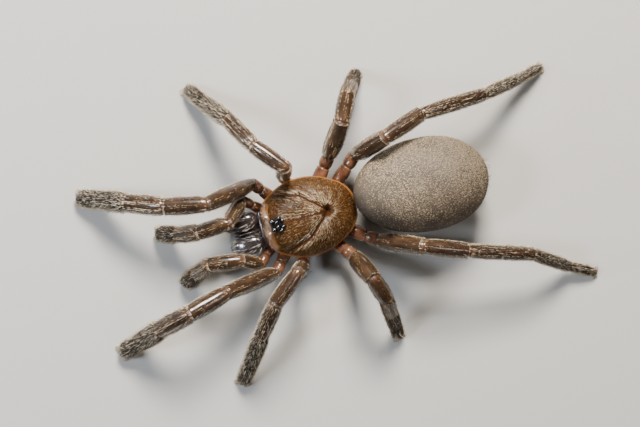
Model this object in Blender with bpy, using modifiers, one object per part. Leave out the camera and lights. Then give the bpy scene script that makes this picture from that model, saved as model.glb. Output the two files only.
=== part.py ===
"""Trapdoor spider: a still, life-size model of a live animal standing on its feet.

It faces -Y, its left side is at +X, and the floor that it stands on is at z = 0.
Lengths are in millimetres while a piece is shaped, and each finished piece is scaled to metres.
"""
import math

import bmesh
import bpy
from mathutils import Matrix, Vector

# Scale and place of the whole animal
METRES = 0.001
BODY_AT = (0.65, -3.15)
GAP = 0.3

# Carapace, the shield over the front half, measured from its own centre.
# A groove or pit is given as its depth and its half-width.
CARAPACE_OUTLINE = ((0, 4.48), (20, 4.6), (29, 4.52), (46, 4.12), (70, 3.78),
                    (90, 3.62), (110, 3.64), (134, 3.84), (150, 4.2), (165, 4.42), (180, 4.38))
CARAPACE_MIDLINE = ((-4.5, 4.9), (-3.6, 5.35), (-2.0, 5.5), (0.0, 5.35), (1.45, 5.1), (3.0, 4.75), (4.5, 4.3))
CARAPACE_UNDERSIDE = 3.3
CARAPACE_RIM = 0.3
CARAPACE_FRONT_FALL = 7.0
CARAPACE_SIDE_FALL = 2.3
FOVEA_Y = 1.6
FOVEA_HALF_WIDTH = 0.45
FOVEA_PIT = (0.3, 0.25)
CEPHALIC_GROOVE_BEND = (1.9, -0.55)
CEPHALIC_GROOVE_END = (2.72, -3.2)
CEPHALIC_GROOVE = (0.26, 0.32)
THORACIC_GROOVE_ENDS = ((3.4, -0.5), (3.2, 1.9), (2.0, 3.5))
THORACIC_GROOVE = (0.15, 0.3)

# Eyes, on a low mound near the front edge: across, along, radius
EYE_MOUND_Y = -3.35
EYE_MOUND_RADIUS = 0.8
EYE_MOUND_HEIGHT = 0.3
EYES = {"anterior_lateral": (0.39, -3.73, 0.21), "anterior_median": (0.21, -3.37, 0.165),
        "posterior_lateral": (0.56, -3.12, 0.17), "posterior_median": (0.28, -2.9, 0.15)}
EYE_SOCKET = 0.1
EYE_SINK = 0.35

# Abdomen
ABDOMEN_LENGTH = 13.08
ABDOMEN_WIDTH = 8.8
ABDOMEN_HEIGHT = 7.2
ABDOMEN_CENTRE = (0.1, 10.54, 4.65)
ABDOMEN_TURN = 5.0
ABDOMEN_PITCH = 5.0
ABDOMEN_FULLNESS = 0.08
ABDOMEN_BLUNTNESS = 0.93

# Core between the coxae, whose underside is the sternum, and the waist behind it
CORE_HALF_WIDTH = 1.85
CORE_HALF_LENGTH = 3.0
CORE_Y = 0.2
CORE_BOTTOM = 1.05
CORE_TOP = 3.0
CORE_ROUNDNESS = (0.5, 0.6)
WAIST_RADIUS = 0.5
WAIST_HEIGHT = 2.5
WAIST_END = 4.5

# Jaws
CHELICERA_SIZE = (1.88, 3.06, 2.35)
CHELICERA_CENTRE = (1.06, -6.02, 2.6)
CHELICERA_DROOP = 10.0
CHELICERA_TAPER = 0.36
CHELICERA_ROUNDNESS = (0.82, 0.58)
FANG_HINGE = (1.0, -6.95, 1.3)
FANG_LENGTH = 2.3
FANG_WIDTH = 0.5
FANG_PITCHES = (-75.0, 40.0)
FANG_STEPS = 7

# Spinnerets
SPINNERET_LENGTH = 1.75
SPINNERET_WIDTH = 0.75
SPINNERET_BASE = (0.6, 15.6, 1.36)
SPINNERET_APART = 0.75
SPINNERET_TURN = {"left": 5.0, "right": 42.0}
SPINNERET_RISE = 16.0
SPINNERET_JOINTS = (0.0, 0.42, 0.74, 1.0)
SPINNERET_TAPER = 0.17

# Leg articles: relative half-widths from the near joint to the far one
PROFILES = {
    "coxa": (0.62, 0.84, 1.0, 1.0, 0.88),
    "trochanter": (0.88, 1.0, 0.92),
    "femur": (0.7, 0.94, 1.0, 0.98, 0.89),
    "patella": (0.82, 0.95, 1.0, 1.0, 0.92),
    "tibia": (0.87, 0.98, 1.0, 0.98, 0.91),
    "metatarsus": (0.88, 0.99, 1.0, 0.98, 0.91),
    "tarsus": (0.88, 0.99, 1.01, 0.97, 0.82)}
ARTICLES = ("femur", "patella", "tibia", "metatarsus", "tarsus")
PALP_ARTICLES = ("femur", "patella", "tibia", "tarsus")
TALL = 1.08

# The domed end of an article past its joint: share of the radius there, and reach as a share of it
DOME = ((0.72, 0.4), (0.0, 0.6))

# Legs: lengths and widths from the femur on, shared by left and right, in millimetres
LENGTHS = {"leg_1": (6.28, 3.72, 3.71, 3.27, 2.23), "leg_2": (4.62, 3.32, 3.73, 3.73, 2.59),
           "leg_3": (4.72, 2.43, 2.65, 2.6, 1.5), "leg_4": (5.38, 4.35, 6.73, 5.76, 3.17),
           "palp": (3.58, 2.74, 2.83, 2.5)}
WIDTHS = {"leg_1": (1.53, 1.65, 1.78, 1.92, 1.75), "leg_2": (1.45, 1.47, 1.52, 1.6, 1.45),
          "leg_3": (1.7, 1.55, 1.42, 1.3, 1.15), "leg_4": (1.66, 1.55, 1.36, 1.16, 0.98),
          "palp": (1.28, 1.43, 1.53, 1.58)}
HIP_WIDTH = {"leg_1": 1.2, "leg_2": 1.25, "leg_3": 1.35, "leg_4": 1.35, "palp": 1.05}

# Where each leg grows from the core, as degrees from straight ahead, and its height there
ROOTS = {"palp": (22, 1.65), "leg_1": (50, 1.95), "leg_2": (78, 1.95), "leg_3": (104, 1.95), "leg_4": (136, 1.95)}
COXA_SHARE = 0.68

# Pose of each leg: the hip, then headings and pitches in degrees, article by article.
# A heading is turned outward from straight ahead, and a pitch is the rise of the article.
POSES = {
    "leg_1_right": ((4.22, -4.15, 2.9), (-8.3, 13, 23, 25, 24), (37, -14, -28, -44, -37)),
    "leg_1_left": ((4.12, -4.25, 2.9), (4.5, 13, 14, 20, 17), (32, 8, -40, -52, -39)),
    "leg_2_right": ((4.3, -1.3, 2.8), (54, 52, 66, 61, 60), (83, -13, -29, -48, -38)),
    "leg_2_left": ((4.35, -1.85, 2.8), (11, 38, 55, 61, 57), (74, -2, -35, -46, -47)),
    "leg_3_right": ((4.7, 3.3, 2.8), (118, 118, 140, 144, 138), (51, -2, -58, -64, -53)),
    "leg_3_left": ((4.65, 3.0, 2.8), (100, 112, 107, 111, 105), (60, -24, -52, -55, -45)),
    "leg_4_right": ((4.2, 5.7, 2.8), (162, 163, 178, 172, 168), (66, -15, -12, -34, -28)),
    "leg_4_left": ((3.9, 5.6, 2.8), (152, 159, 162, 151, 153), (52, -9, -12, -38, -19)),
    "palp_right": ((3.05, -5.5, 2.9), (-39, -2, 11, 23), (42, -13, -53, -51)),
    "palp_left": ((3.05, -5.5, 2.9), (-24, -9, 23, 29), (53, -10, -65, -65))}

# Feet
TIP_HEIGHT = 0.45
TUFT_SIZE = (0.62, 0.9, 0.6)
TUFT_SPREAD = 12.0
TUFT_OFFSET = 0.33
TUFT_HEIGHT = 0.12
TUFT_AHEAD = 0.12

# Fineness
LEG_SIDES = 8
CARAPACE_GRID = (40, 16)
ABDOMEN_GRID = (32, 18)
JAW_GRID = (16, 10)
CORE_GRID = (28, 8)
SMALL_GRID = (8, 6)
SOCKET_GRID = (8, 4)
SHARP_ANGLE = 50.0

# Colours
AMBER = (0.22, 0.10, 0.035)
OLIVE_GREY = (0.075, 0.06, 0.045)
RED_BROWN = (0.13, 0.05, 0.022)
DARK_BROWN = (0.035, 0.018, 0.012)
BLACK = (0.005, 0.005, 0.006)
MEMBRANE = (0.30, 0.17, 0.10)


def clear_scene():
    """Removes whatever the file opened with."""
    for item in list(bpy.data.objects):
        bpy.data.objects.remove(item, do_unlink=True)


def new_collection(name):
    """Returns an empty collection linked to the scene."""
    group = bpy.data.collections.new(name)
    bpy.context.scene.collection.children.link(group)
    return group


def material(name, colour, roughness):
    """Returns a plain Principled material."""
    paint = bpy.data.materials.new(name)
    paint.use_nodes = True
    shader = paint.node_tree.nodes["Principled BSDF"]
    shader.inputs["Base Color"].default_value = (*colour, 1.0)
    shader.inputs["Roughness"].default_value = roughness
    shader.inputs["Metallic"].default_value = 0.0
    return paint


def smooth_curve(points, place):
    """Reads a smooth curve through a few (place, value) points."""
    places = [point[0] for point in points]
    values = [point[1] for point in points]
    place = min(max(place, places[0]), places[-1])
    left = max(index for index in range(len(points) - 1) if places[index] <= place)
    right = left + 1

    def slope(index):
        before = max(index - 1, 0)
        after = min(index + 1, len(points) - 1)
        return (values[after] - values[before]) / (places[after] - places[before])

    span = places[right] - places[left]
    t = (place - places[left]) / span
    return ((2 * t ** 3 - 3 * t ** 2 + 1) * values[left] + (t ** 3 - 2 * t ** 2 + t) * span * slope(left)
            + (3 * t ** 2 - 2 * t ** 3) * values[right] + (t ** 3 - t ** 2) * span * slope(right))


def object_from(shape, name):
    """Turns a bmesh into an object in the scene, its faces pointing out."""
    bmesh.ops.recalc_face_normals(shape, faces=shape.faces[:])
    mesh = bpy.data.meshes.new(name)
    shape.to_mesh(mesh)
    shape.free()
    item = bpy.data.objects.new(name, mesh)
    bpy.context.scene.collection.objects.link(item)
    return item


def shaped_ball(name, grid, place):
    """A ball whose points are moved one by one, so that it stays one closed surface."""
    ball = bmesh.new()
    bmesh.ops.create_uvsphere(ball, u_segments=grid[0], v_segments=grid[1], radius=1.0)
    for vertex in ball.verts:
        vertex.co = place(vertex.co.normalized())
    return object_from(ball, name)


def ellipsoid(name, grid, half_size, frame):
    """A ball stretched to three half-sizes and set in a frame."""
    def place(point):
        return frame @ Vector([value * half for value, half in zip(point, half_size)])
    return shaped_ball(name, grid, place)


def bake(item):
    """Replaces an object's mesh by the one that its modifiers give."""
    graph = bpy.context.evaluated_depsgraph_get()
    mesh = bpy.data.meshes.new_from_object(item.evaluated_get(graph))
    item.modifiers.clear()
    item.data = mesh
    return item


def frame_along(start, direction):
    """A frame at a point with Z along a direction and X level."""
    along = direction.normalized()
    level = Vector((0, 0, 1)).cross(along).normalized()
    upper = along.cross(level)
    turn = Matrix((level, upper, along)).transposed().to_4x4()
    return Matrix.Translation(start) @ turn


def turned(name, profile, sides, frame, tall=1.0):
    """A closed turned shape from (radius, height) points, bottom to top, set in a frame."""
    mesh = bpy.data.meshes.new(name)
    points = [(radius, 0, height) for radius, height in reversed(profile)]
    mesh.from_pydata(points, [(index, index + 1) for index in range(len(points) - 1)], [])
    item = bpy.data.objects.new(name, mesh)
    bpy.context.scene.collection.objects.link(item)
    screw = item.modifiers.new("turn", "SCREW")
    screw.axis = "Z"
    screw.steps = sides
    screw.render_steps = sides
    screw.use_merge_vertices = True
    screw.merge_threshold = 0.00001
    bake(item)
    item.data.transform(frame @ Matrix.Diagonal((1, tall, 1, 1)))
    return item


def keep_largest(item):
    """Drops every closed surface of an object but its largest."""
    shape = bmesh.new()
    shape.from_mesh(item.data)
    unseen = set(shape.verts)
    islands = []
    while unseen:
        front = [unseen.pop()]
        island = list(front)
        while front:
            for edge in front.pop().link_edges:
                for vertex in edge.verts:
                    if vertex in unseen:
                        unseen.remove(vertex)
                        island.append(vertex)
                        front.append(vertex)
        islands.append(island)
    islands.sort(key=len)
    for island in islands[:-1]:
        bmesh.ops.delete(shape, geom=island, context="VERTS")
    shape.to_mesh(item.data)
    shape.free()


def combine(item, others, operation):
    """Joins other closed objects to one, or cuts them from it, and removes them."""
    group = new_collection("tools")
    for other in others:
        group.objects.link(other)
    change = item.modifiers.new("combine", "BOOLEAN")
    change.operand_type = "COLLECTION"
    change.collection = group
    change.operation = operation
    change.solver = "EXACT"
    bake(item)
    for other in others:
        bpy.data.objects.remove(other, do_unlink=True)
    bpy.data.collections.remove(group)
    keep_largest(item)
    return item


def stand_on_floor(item):
    """Cuts a foot flat at the floor."""
    shape = bmesh.new()
    shape.from_mesh(item.data)
    everything = shape.verts[:] + shape.edges[:] + shape.faces[:]
    bmesh.ops.bisect_plane(shape, geom=everything, plane_co=(0, 0, 0), plane_no=(0, 0, -1), clear_outer=True)
    bmesh.ops.holes_fill(shape, edges=[edge for edge in shape.edges if edge.is_boundary])
    shape.to_mesh(item.data)
    shape.free()


def finish(item, name, paint, group):
    """Names a finished piece, scales it to metres and puts it where the animal stands."""
    item.name = name
    item.data.name = name
    item.data.transform(Matrix.Scale(METRES, 4) @ Matrix.Translation((*BODY_AT, 0)))
    item.data.materials.clear()
    item.data.materials.append(paint)
    item.data.shade_smooth()
    item.data.set_sharp_from_angle(angle=math.radians(SHARP_ANGLE))
    bpy.context.scene.collection.objects.unlink(item)
    group.objects.link(item)
    return item


def fade(distance, reach):
    """A soft bump: one at no distance, falling to nothing over the reach."""
    return math.exp(-(distance / reach) ** 2)


def distance_to_line(point, start, end):
    """How far a plan point lies from the line between two others, and how far along it is."""
    line = end - start
    share = min(max((point - start).dot(line) / line.length_squared, 0.0), 1.0)
    return (point - (start + line * share)).length, share


def carapace_reach(angle):
    """The carapace's plan radius at an angle from straight ahead."""
    return smooth_curve(CARAPACE_OUTLINE, math.degrees(abs(angle)))


def carapace_top(x, y):
    """The height of the carapace's upper side, before it falls to its rim."""
    height = smooth_curve(CARAPACE_MIDLINE, y)
    spot = Vector((abs(x), y))
    fovea = Vector((0, FOVEA_Y))
    bend = Vector(CEPHALIC_GROOVE_BEND)
    near = distance_to_line(spot, fovea, bend)[0]
    groove, share = distance_to_line(spot, bend, Vector(CEPHALIC_GROOVE_END))
    height -= CEPHALIC_GROOVE[0] * fade(min(near, groove), CEPHALIC_GROOVE[1]) * (1 - 0.4 * share)
    for end in THORACIC_GROOVE_ENDS:
        groove, share = distance_to_line(spot, fovea, Vector(end))
        height -= THORACIC_GROOVE[0] * fade(groove, THORACIC_GROOVE[1]) * (1 - 0.6 * share)
    pit = distance_to_line(spot, fovea, Vector((FOVEA_HALF_WIDTH, FOVEA_Y)))[0]
    height -= FOVEA_PIT[0] * fade(pit, FOVEA_PIT[1])
    mound = math.hypot(x, y - EYE_MOUND_Y)
    return height + EYE_MOUND_HEIGHT * fade(mound, EYE_MOUND_RADIUS)


def carapace_surface(x, y):
    """The height of the carapace's upper surface at a plan point."""
    angle = math.atan2(x, -y)
    share = min(math.hypot(x, y) / carapace_reach(angle), 1.0)
    ahead = max(math.cos(angle), 0.0) ** 4
    fall = CARAPACE_SIDE_FALL + (CARAPACE_FRONT_FALL - CARAPACE_SIDE_FALL) * ahead
    rim = CARAPACE_UNDERSIDE + CARAPACE_RIM
    return rim + (carapace_top(x, y) - rim) * (1 - share ** fall) ** 0.8


def make_carapace():
    """The carapace, domed over a level underside, with sockets for the eyes."""
    def place(point):
        angle = math.atan2(point.x, -point.y)
        polar = math.acos(min(max(abs(point.z), 0.0), 1.0)) / (math.pi / 2)
        share = polar ** 0.8
        if point.z < 0:
            share = min(share, 0.97)
        x = share * carapace_reach(angle) * math.sin(angle)
        y = -share * carapace_reach(angle) * math.cos(angle)
        if abs(point.z) < 0.01:
            return Vector((x, y, CARAPACE_UNDERSIDE + CARAPACE_RIM / 2))
        if point.z < 0:
            return Vector((x, y, CARAPACE_UNDERSIDE))
        return Vector((x, y, carapace_surface(x, y)))

    item = shaped_ball("carapace", CARAPACE_GRID, place)
    sockets = []
    for across, along, radius in EYES.values():
        for side in (-1, 1):
            centre = eye_centre(side * across, along, radius)
            sockets.append(ellipsoid("socket", SOCKET_GRID, [radius + EYE_SOCKET] * 3, Matrix.Translation(centre)))
    return combine(item, sockets, "DIFFERENCE")


def eye_centre(x, y, radius):
    """An eye's centre, sunk part of its radius into the mound."""
    return Vector((x, y, carapace_surface(x, y) + radius * (1 - 2 * EYE_SINK)))


def make_eye(x, y, radius):
    """One simple eye, a small ball."""
    return ellipsoid("eye", SMALL_GRID, [radius] * 3, Matrix.Translation(eye_centre(x, y, radius)))


def make_abdomen():
    """The abdomen, an egg a little fuller behind its middle."""
    turn = Matrix.Rotation(math.radians(-ABDOMEN_TURN), 4, "Z")
    pitch = Matrix.Rotation(math.radians(-ABDOMEN_PITCH), 4, "X")
    frame = Matrix.Translation(ABDOMEN_CENTRE) @ turn @ pitch

    def place(point):
        fuller = 1 + ABDOMEN_FULLNESS * point.y
        blunt = math.copysign(abs(point.y) ** ABDOMEN_BLUNTNESS, point.y)
        return frame @ Vector((point.x * fuller * ABDOMEN_WIDTH / 2, blunt * ABDOMEN_LENGTH / 2,
                               point.z * fuller * ABDOMEN_HEIGHT / 2))
    return shaped_ball("abdomen", ABDOMEN_GRID, place)


def make_sternum():
    """The core that the coxae grow from, with the sternum as its underside."""
    middle = (CORE_TOP + CORE_BOTTOM) / 2
    half = (CORE_TOP - CORE_BOTTOM) / 2

    def place(point):
        flat = math.copysign(abs(point.z) ** CORE_ROUNDNESS[1], point.z)
        level = math.hypot(point.x, point.y)
        spread = level ** CORE_ROUNDNESS[0] / max(level, 1e-6)
        return Vector((point.x * spread * CORE_HALF_WIDTH, CORE_Y + point.y * spread * CORE_HALF_LENGTH,
                       middle + flat * half))
    return shaped_ball("sternum", CORE_GRID, place)


def make_pedicel():
    """The narrow waist between the core and the abdomen."""
    start = Vector((0, CORE_Y + CORE_HALF_LENGTH + GAP, WAIST_HEIGHT - 0.1))
    end = Vector((0, WAIST_END, WAIST_HEIGHT))
    length = (end - start).length
    profile = ((0, 0), (WAIST_RADIUS, 0.08), (WAIST_RADIUS * 0.8, length / 2), (WAIST_RADIUS, length - 0.08), (0, length))
    return turned("pedicel", profile, LEG_SIDES, frame_along(start, end - start))


def make_chelicera(side):
    """One jaw, a full, slightly drooping form, flatter where it faces its twin."""
    droop = Matrix.Rotation(math.radians(CHELICERA_DROOP), 4, "X")
    centre = Vector((side * CHELICERA_CENTRE[0], *CHELICERA_CENTRE[1:]))
    frame = Matrix.Translation(centre) @ droop
    wide, long, tall = (size / 2 for size in CHELICERA_SIZE)

    def place(point):
        ahead = (1 - point.y) / 2
        narrow = 1.0 - CHELICERA_TAPER * ahead ** 2
        inner = 1.0 if point.x * side < 0 else narrow
        back, front = CHELICERA_ROUNDNESS
        level = back + (front - back) * ahead
        full = [math.copysign(abs(value) ** power, value) for value, power in zip(point, (level, level, back))]
        return frame @ Vector((full[0] * wide * inner, full[1] * long, full[2] * tall * narrow))
    return shaped_ball("chelicera", JAW_GRID, place)


def make_fang(side):
    """A fang, folded back under its jaw: a bent cone made as a tapered tube."""
    spot = Vector((side * FANG_HINGE[0], *FANG_HINGE[1:]))
    curve = bpy.data.curves.new("fang", "CURVE")
    curve.dimensions = "3D"
    curve.bevel_depth = FANG_WIDTH / 2
    curve.bevel_resolution = 2
    curve.use_fill_caps = True
    spline = curve.splines.new("POLY")
    spline.points.add(FANG_STEPS - 1)
    for index in range(FANG_STEPS):
        share = index / (FANG_STEPS - 1)
        spline.points[index].co = (*spot, 1)
        spline.points[index].radius = 1.0 - 0.8 * share ** 1.2
        pitch = math.radians(FANG_PITCHES[0] + (FANG_PITCHES[1] - FANG_PITCHES[0]) * share)
        spot = spot + Vector((0, math.cos(pitch), math.sin(pitch))) * FANG_LENGTH / (FANG_STEPS - 1)
    item = bpy.data.objects.new("fang", curve)
    bpy.context.scene.collection.objects.link(item)
    graph = bpy.context.evaluated_depsgraph_get()
    mesh = bpy.data.meshes.new_from_object(item.evaluated_get(graph))
    bpy.data.objects.remove(item, do_unlink=True)
    shape = bmesh.new()
    shape.from_mesh(mesh)
    bmesh.ops.remove_doubles(shape, verts=shape.verts[:], dist=0.0001)
    return object_from(shape, "fang")


def make_spinneret(side, side_name):
    """A rear spinneret of three articles, each narrower than the last."""
    start = Vector(SPINNERET_BASE) + Vector((side * SPINNERET_APART, 0, 0))
    heading = 180 - SPINNERET_TURN[side_name]
    reach = step_from(Vector(), side, heading, SPINNERET_RISE, 1.0)
    wide = SPINNERET_WIDTH / 2
    profile = [(0, 0), (wide * 0.8, 0.02)]
    for index in range(len(SPINNERET_JOINTS) - 1):
        begin = SPINNERET_JOINTS[index] * SPINNERET_LENGTH
        end = SPINNERET_JOINTS[index + 1] * SPINNERET_LENGTH
        size = wide * (1 - SPINNERET_TAPER * index)
        profile += [(size, begin + 0.15), (size * 0.9, end - 0.12)]
    profile.append((0, SPINNERET_LENGTH))
    return turned("spinneret", profile, LEG_SIDES, frame_along(start, reach))


def article(kind, start, end, width):
    """One turned leg article between two joints, its ends domed a little past them."""
    shares = PROFILES[kind]
    length = (end - start).length
    radii = [share * width / 2 for share in shares]
    last = len(radii) - 1
    profile = [(radii[0] * share, -radii[0] * reach) for share, reach in reversed(DOME)]
    profile += [(radius, length * index / last) for index, radius in enumerate(radii)]
    profile += [(radii[-1] * share, length + radii[-1] * reach) for share, reach in DOME]
    return turned(kind, profile, LEG_SIDES, frame_along(start, end - start), TALL)


def step_from(point, side, heading, pitch, length):
    """The next joint along a leg."""
    turn = math.radians(heading)
    rise = math.radians(pitch)
    reach = Vector((side * math.sin(turn) * math.cos(rise), -math.cos(turn) * math.cos(rise), math.sin(rise)))
    return point + reach * length


def tuft_pads(tip, back, width):
    """The pair of claw tufts under the end of a leg."""
    pads = []
    flat = Vector((tip.x - back.x, tip.y - back.y, 0)).normalized()
    for side in (-1, 1):
        reach = Matrix.Rotation(math.radians(side * TUFT_SPREAD), 3, "Z") @ flat
        across = Vector((-flat.y, flat.x, 0)) * side * TUFT_OFFSET * width
        centre = Vector((tip.x, tip.y, TUFT_HEIGHT)) + across + flat * TUFT_AHEAD
        half = Vector(TUFT_SIZE) / 2
        turn = Matrix((reach.cross(Vector((0, 0, 1))), reach, Vector((0, 0, 1)))).transposed().to_4x4()
        pads.append(ellipsoid("tuft", SMALL_GRID, half, Matrix.Translation(centre) @ turn))
    return pads


def make_leg(name):
    """One leg or palp from its coxa to its foot, as one closed solid."""
    kind, side_name = name.rsplit("_", 1)
    side = 1 if side_name == "left" else -1
    hip, headings, pitches = POSES[name]
    hip = Vector((side * hip[0], *hip[1:]))
    angle, height = ROOTS[kind]
    turn = math.radians(angle)
    root = Vector((side * CORE_HALF_WIDTH * math.sin(turn), CORE_Y - CORE_HALF_LENGTH * math.cos(turn), height))
    outward = Vector((hip.x - root.x, hip.y - root.y, 0)).normalized()
    wide = HIP_WIDTH[kind]
    root += outward * (GAP + DOME[-1][1] * PROFILES["coxa"][0] * wide / 2)
    joint = root.lerp(hip, COXA_SHARE)
    pieces = [article("coxa", root, joint, wide), article("trochanter", joint, hip, wide)]
    names = PALP_ARTICLES if kind == "palp" else ARTICLES
    start = hip
    for index, part_name in enumerate(names):
        end = step_from(start, side, headings[index], pitches[index], LENGTHS[kind][index])
        if index == len(names) - 1:
            end.z = TIP_HEIGHT
        pieces.append(article(part_name, start, end, WIDTHS[kind][index]))
        back, start = start, end
    pieces += tuft_pads(start, back, WIDTHS[kind][-1])
    leg = combine(pieces[0], pieces[1:], "UNION")
    stand_on_floor(leg)
    return leg


def build():
    """Makes every piece of the spider."""
    clear_scene()
    group = new_collection("trapdoor_spider")
    amber = material("carapace_amber", AMBER, 0.35)
    olive = material("abdomen_olive", OLIVE_GREY, 0.8)
    brown = material("leg_brown", RED_BROWN, 0.35)
    dark = material("jaw_brown", DARK_BROWN, 0.35)
    black = material("eye_black", BLACK, 0.08)
    pale = material("waist_membrane", MEMBRANE, 0.5)
    finish(make_carapace(), "carapace", amber, group)
    finish(make_abdomen(), "abdomen", olive, group)
    finish(make_sternum(), "sternum", brown, group)
    finish(make_pedicel(), "pedicel", pale, group)
    for side_name, side in (("left", 1), ("right", -1)):
        finish(make_chelicera(side), "chelicera_" + side_name, dark, group)
        finish(make_fang(side), "fang_" + side_name, black, group)
        finish(make_spinneret(side, side_name), "spinneret_" + side_name, olive, group)
        for name, (across, along, radius) in EYES.items():
            finish(make_eye(side * across, along, radius), "eye_" + name + "_" + side_name, black, group)
    for name in POSES:
        finish(make_leg(name), name, brown, group)


build()
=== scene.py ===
# %% [markdown]
# # A trapdoor spider, built from the skin out
# This lesson dresses a plain solid model of a trapdoor spider so that it looks alive.
# The solids give the size, the place and the pose of each part. Here each part gets a fine
# skin, a colour that is painted by small procedural materials, and a coat of real hairs.
# Every length is in millimetres in the animal's own frame: it faces -Y, its left side is at +X,
# and the floor is at z = 0. The maker of pieces and the function that aims lights turn that into
# Blender's metres.

# %% Load the solids
import math
from types import SimpleNamespace

import bpy
import numpy as np
from mathutils import Matrix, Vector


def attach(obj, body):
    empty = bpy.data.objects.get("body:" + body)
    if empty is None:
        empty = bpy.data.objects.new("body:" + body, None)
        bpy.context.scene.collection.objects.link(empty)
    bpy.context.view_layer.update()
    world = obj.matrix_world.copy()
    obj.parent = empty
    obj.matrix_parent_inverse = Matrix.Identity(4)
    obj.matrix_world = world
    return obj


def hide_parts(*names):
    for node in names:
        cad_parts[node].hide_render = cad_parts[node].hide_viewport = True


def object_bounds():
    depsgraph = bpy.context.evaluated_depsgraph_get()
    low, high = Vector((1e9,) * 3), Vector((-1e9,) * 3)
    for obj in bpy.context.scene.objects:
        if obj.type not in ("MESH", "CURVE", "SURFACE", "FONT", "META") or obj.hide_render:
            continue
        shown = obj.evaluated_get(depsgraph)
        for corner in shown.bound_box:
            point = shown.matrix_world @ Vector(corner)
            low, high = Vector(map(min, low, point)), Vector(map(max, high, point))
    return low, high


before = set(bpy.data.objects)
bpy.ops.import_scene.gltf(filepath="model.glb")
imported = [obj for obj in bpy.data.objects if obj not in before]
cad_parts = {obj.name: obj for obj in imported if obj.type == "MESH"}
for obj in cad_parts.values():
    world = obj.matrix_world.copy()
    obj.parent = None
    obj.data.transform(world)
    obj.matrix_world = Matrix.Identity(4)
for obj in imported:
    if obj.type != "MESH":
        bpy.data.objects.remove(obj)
solid_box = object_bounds()
print("solids:", len(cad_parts), "nodes")

# %% [markdown]
# ## The measures
# A live spider is a few forms hinged together: a shield over the front half, an egg-shaped
# abdomen, two jaws, and ten jointed limbs. The limbs could be read back from the solids' meshes,
# but naming the same joints, lengths and widths again is simpler, and it gives us the hinge points.

# %% Body measures
MM = 0.001
BODY_AT = np.array((0.65, -3.15, 0.0))

# The outline is degrees from straight ahead with a radius, the midline a place from front to rear with a height
CARAPACE_OUTLINE = ((0, 4.48), (20, 4.6), (29, 4.52), (46, 4.12), (70, 3.78),
                    (90, 3.62), (110, 3.64), (134, 3.84), (150, 4.2), (165, 4.42), (180, 4.38))
CARAPACE_MIDLINE = ((-4.5, 4.9), (-3.6, 5.35), (-2.0, 5.5), (0.0, 5.35), (1.45, 5.1), (3.0, 4.75), (4.5, 4.3))
CARAPACE_UNDERSIDE = 3.3
CARAPACE_RIM = 0.3
CARAPACE_FRONT_FALL = 7.0
CARAPACE_SIDE_FALL = 2.3
FOVEA = np.array((0.0, 1.6))

EYE_MOUND_Y = -3.35
EYE_MOUND_RADIUS = 0.8
EYE_MOUND_HEIGHT = 0.3
# Each eye of one side: its place and its radius
EYES = {"anterior_lateral": (0.39, -3.73, 0.21), "anterior_median": (0.21, -3.37, 0.165),
        "posterior_lateral": (0.56, -3.12, 0.17), "posterior_median": (0.28, -2.9, 0.15)}
LENS_GROWTH = 0.045
EYE_SINK = 0.35

ABDOMEN_SIZE = np.array((8.8, 13.08, 7.2))
ABDOMEN_CENTRE = np.array((0.1, 10.54, 4.65))
ABDOMEN_TURN = 5.0
ABDOMEN_PITCH = 5.0
ABDOMEN_FULLNESS = 0.08
ABDOMEN_BLUNTNESS = 0.93

CORE_HALF = np.array((1.85, 3.0, 0.975))
CORE_CENTRE = np.array((0.0, 0.2, 2.025))
CORE_ROUNDNESS = (0.5, 0.6)
WAIST = ((0.0, 3.5, 2.4), (0.0, 4.5, 2.5))
WAIST_RADIUS = 0.5

CHELICERA_SIZE = np.array((1.88, 3.06, 2.35))
CHELICERA_CENTRE = np.array((1.06, -6.02, 2.6))
CHELICERA_DROOP = 10.0
CHELICERA_TAPER = 0.36
CHELICERA_ROUNDNESS = (0.82, 0.58)
FANG_HINGE = np.array((1.0, -6.95, 1.3))
FANG_LENGTH = 2.3
FANG_WIDTH = 0.5
FANG_PITCHES = (-75.0, 40.0)

SPINNERET_LENGTH = 1.75
SPINNERET_WIDTH = 0.75
SPINNERET_BASE = np.array((0.6, 15.6, 1.36))
SPINNERET_APART = 0.75
SPINNERET_TURN = {"left": 5.0, "right": 42.0}
SPINNERET_RISE = 16.0
SPINNERET_JOINTS = (0.0, 0.42, 0.74, 1.0)
SPINNERET_TAPER = 0.17

SIDES = {"left": 1, "right": -1}

# %% Limb measures
PROFILES = {
    "coxa": (0.62, 0.84, 1.0, 1.0, 0.88),
    "trochanter": (0.88, 1.0, 0.92),
    "femur": (0.7, 0.94, 1.0, 0.98, 0.89),
    "patella": (0.82, 0.95, 1.0, 1.0, 0.92),
    "tibia": (0.87, 0.98, 1.0, 0.98, 0.91),
    "metatarsus": (0.88, 0.99, 1.0, 0.98, 0.91),
    "tarsus": (0.88, 0.99, 1.01, 0.97, 0.82)}
ARTICLES = ("femur", "patella", "tibia", "metatarsus", "tarsus")
PALP_ARTICLES = ("femur", "patella", "tibia", "tarsus")
TALL = 1.08
DOME_REACH = 0.6
GAP = 0.3

# The length, then the width, of each article from the femur on
LENGTHS = {"leg_1": (6.28, 3.72, 3.71, 3.27, 2.23), "leg_2": (4.62, 3.32, 3.73, 3.73, 2.59),
           "leg_3": (4.72, 2.43, 2.65, 2.6, 1.5), "leg_4": (5.38, 4.35, 6.73, 5.76, 3.17),
           "palp": (3.58, 2.74, 2.83, 2.5)}
WIDTHS = {"leg_1": (1.53, 1.65, 1.78, 1.92, 1.75), "leg_2": (1.45, 1.47, 1.52, 1.6, 1.45),
          "leg_3": (1.7, 1.55, 1.42, 1.3, 1.15), "leg_4": (1.66, 1.55, 1.36, 1.16, 0.98),
          "palp": (1.28, 1.43, 1.53, 1.58)}
HIP_WIDTH = {"leg_1": 1.2, "leg_2": 1.25, "leg_3": 1.35, "leg_4": 1.35, "palp": 1.05}
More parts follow.
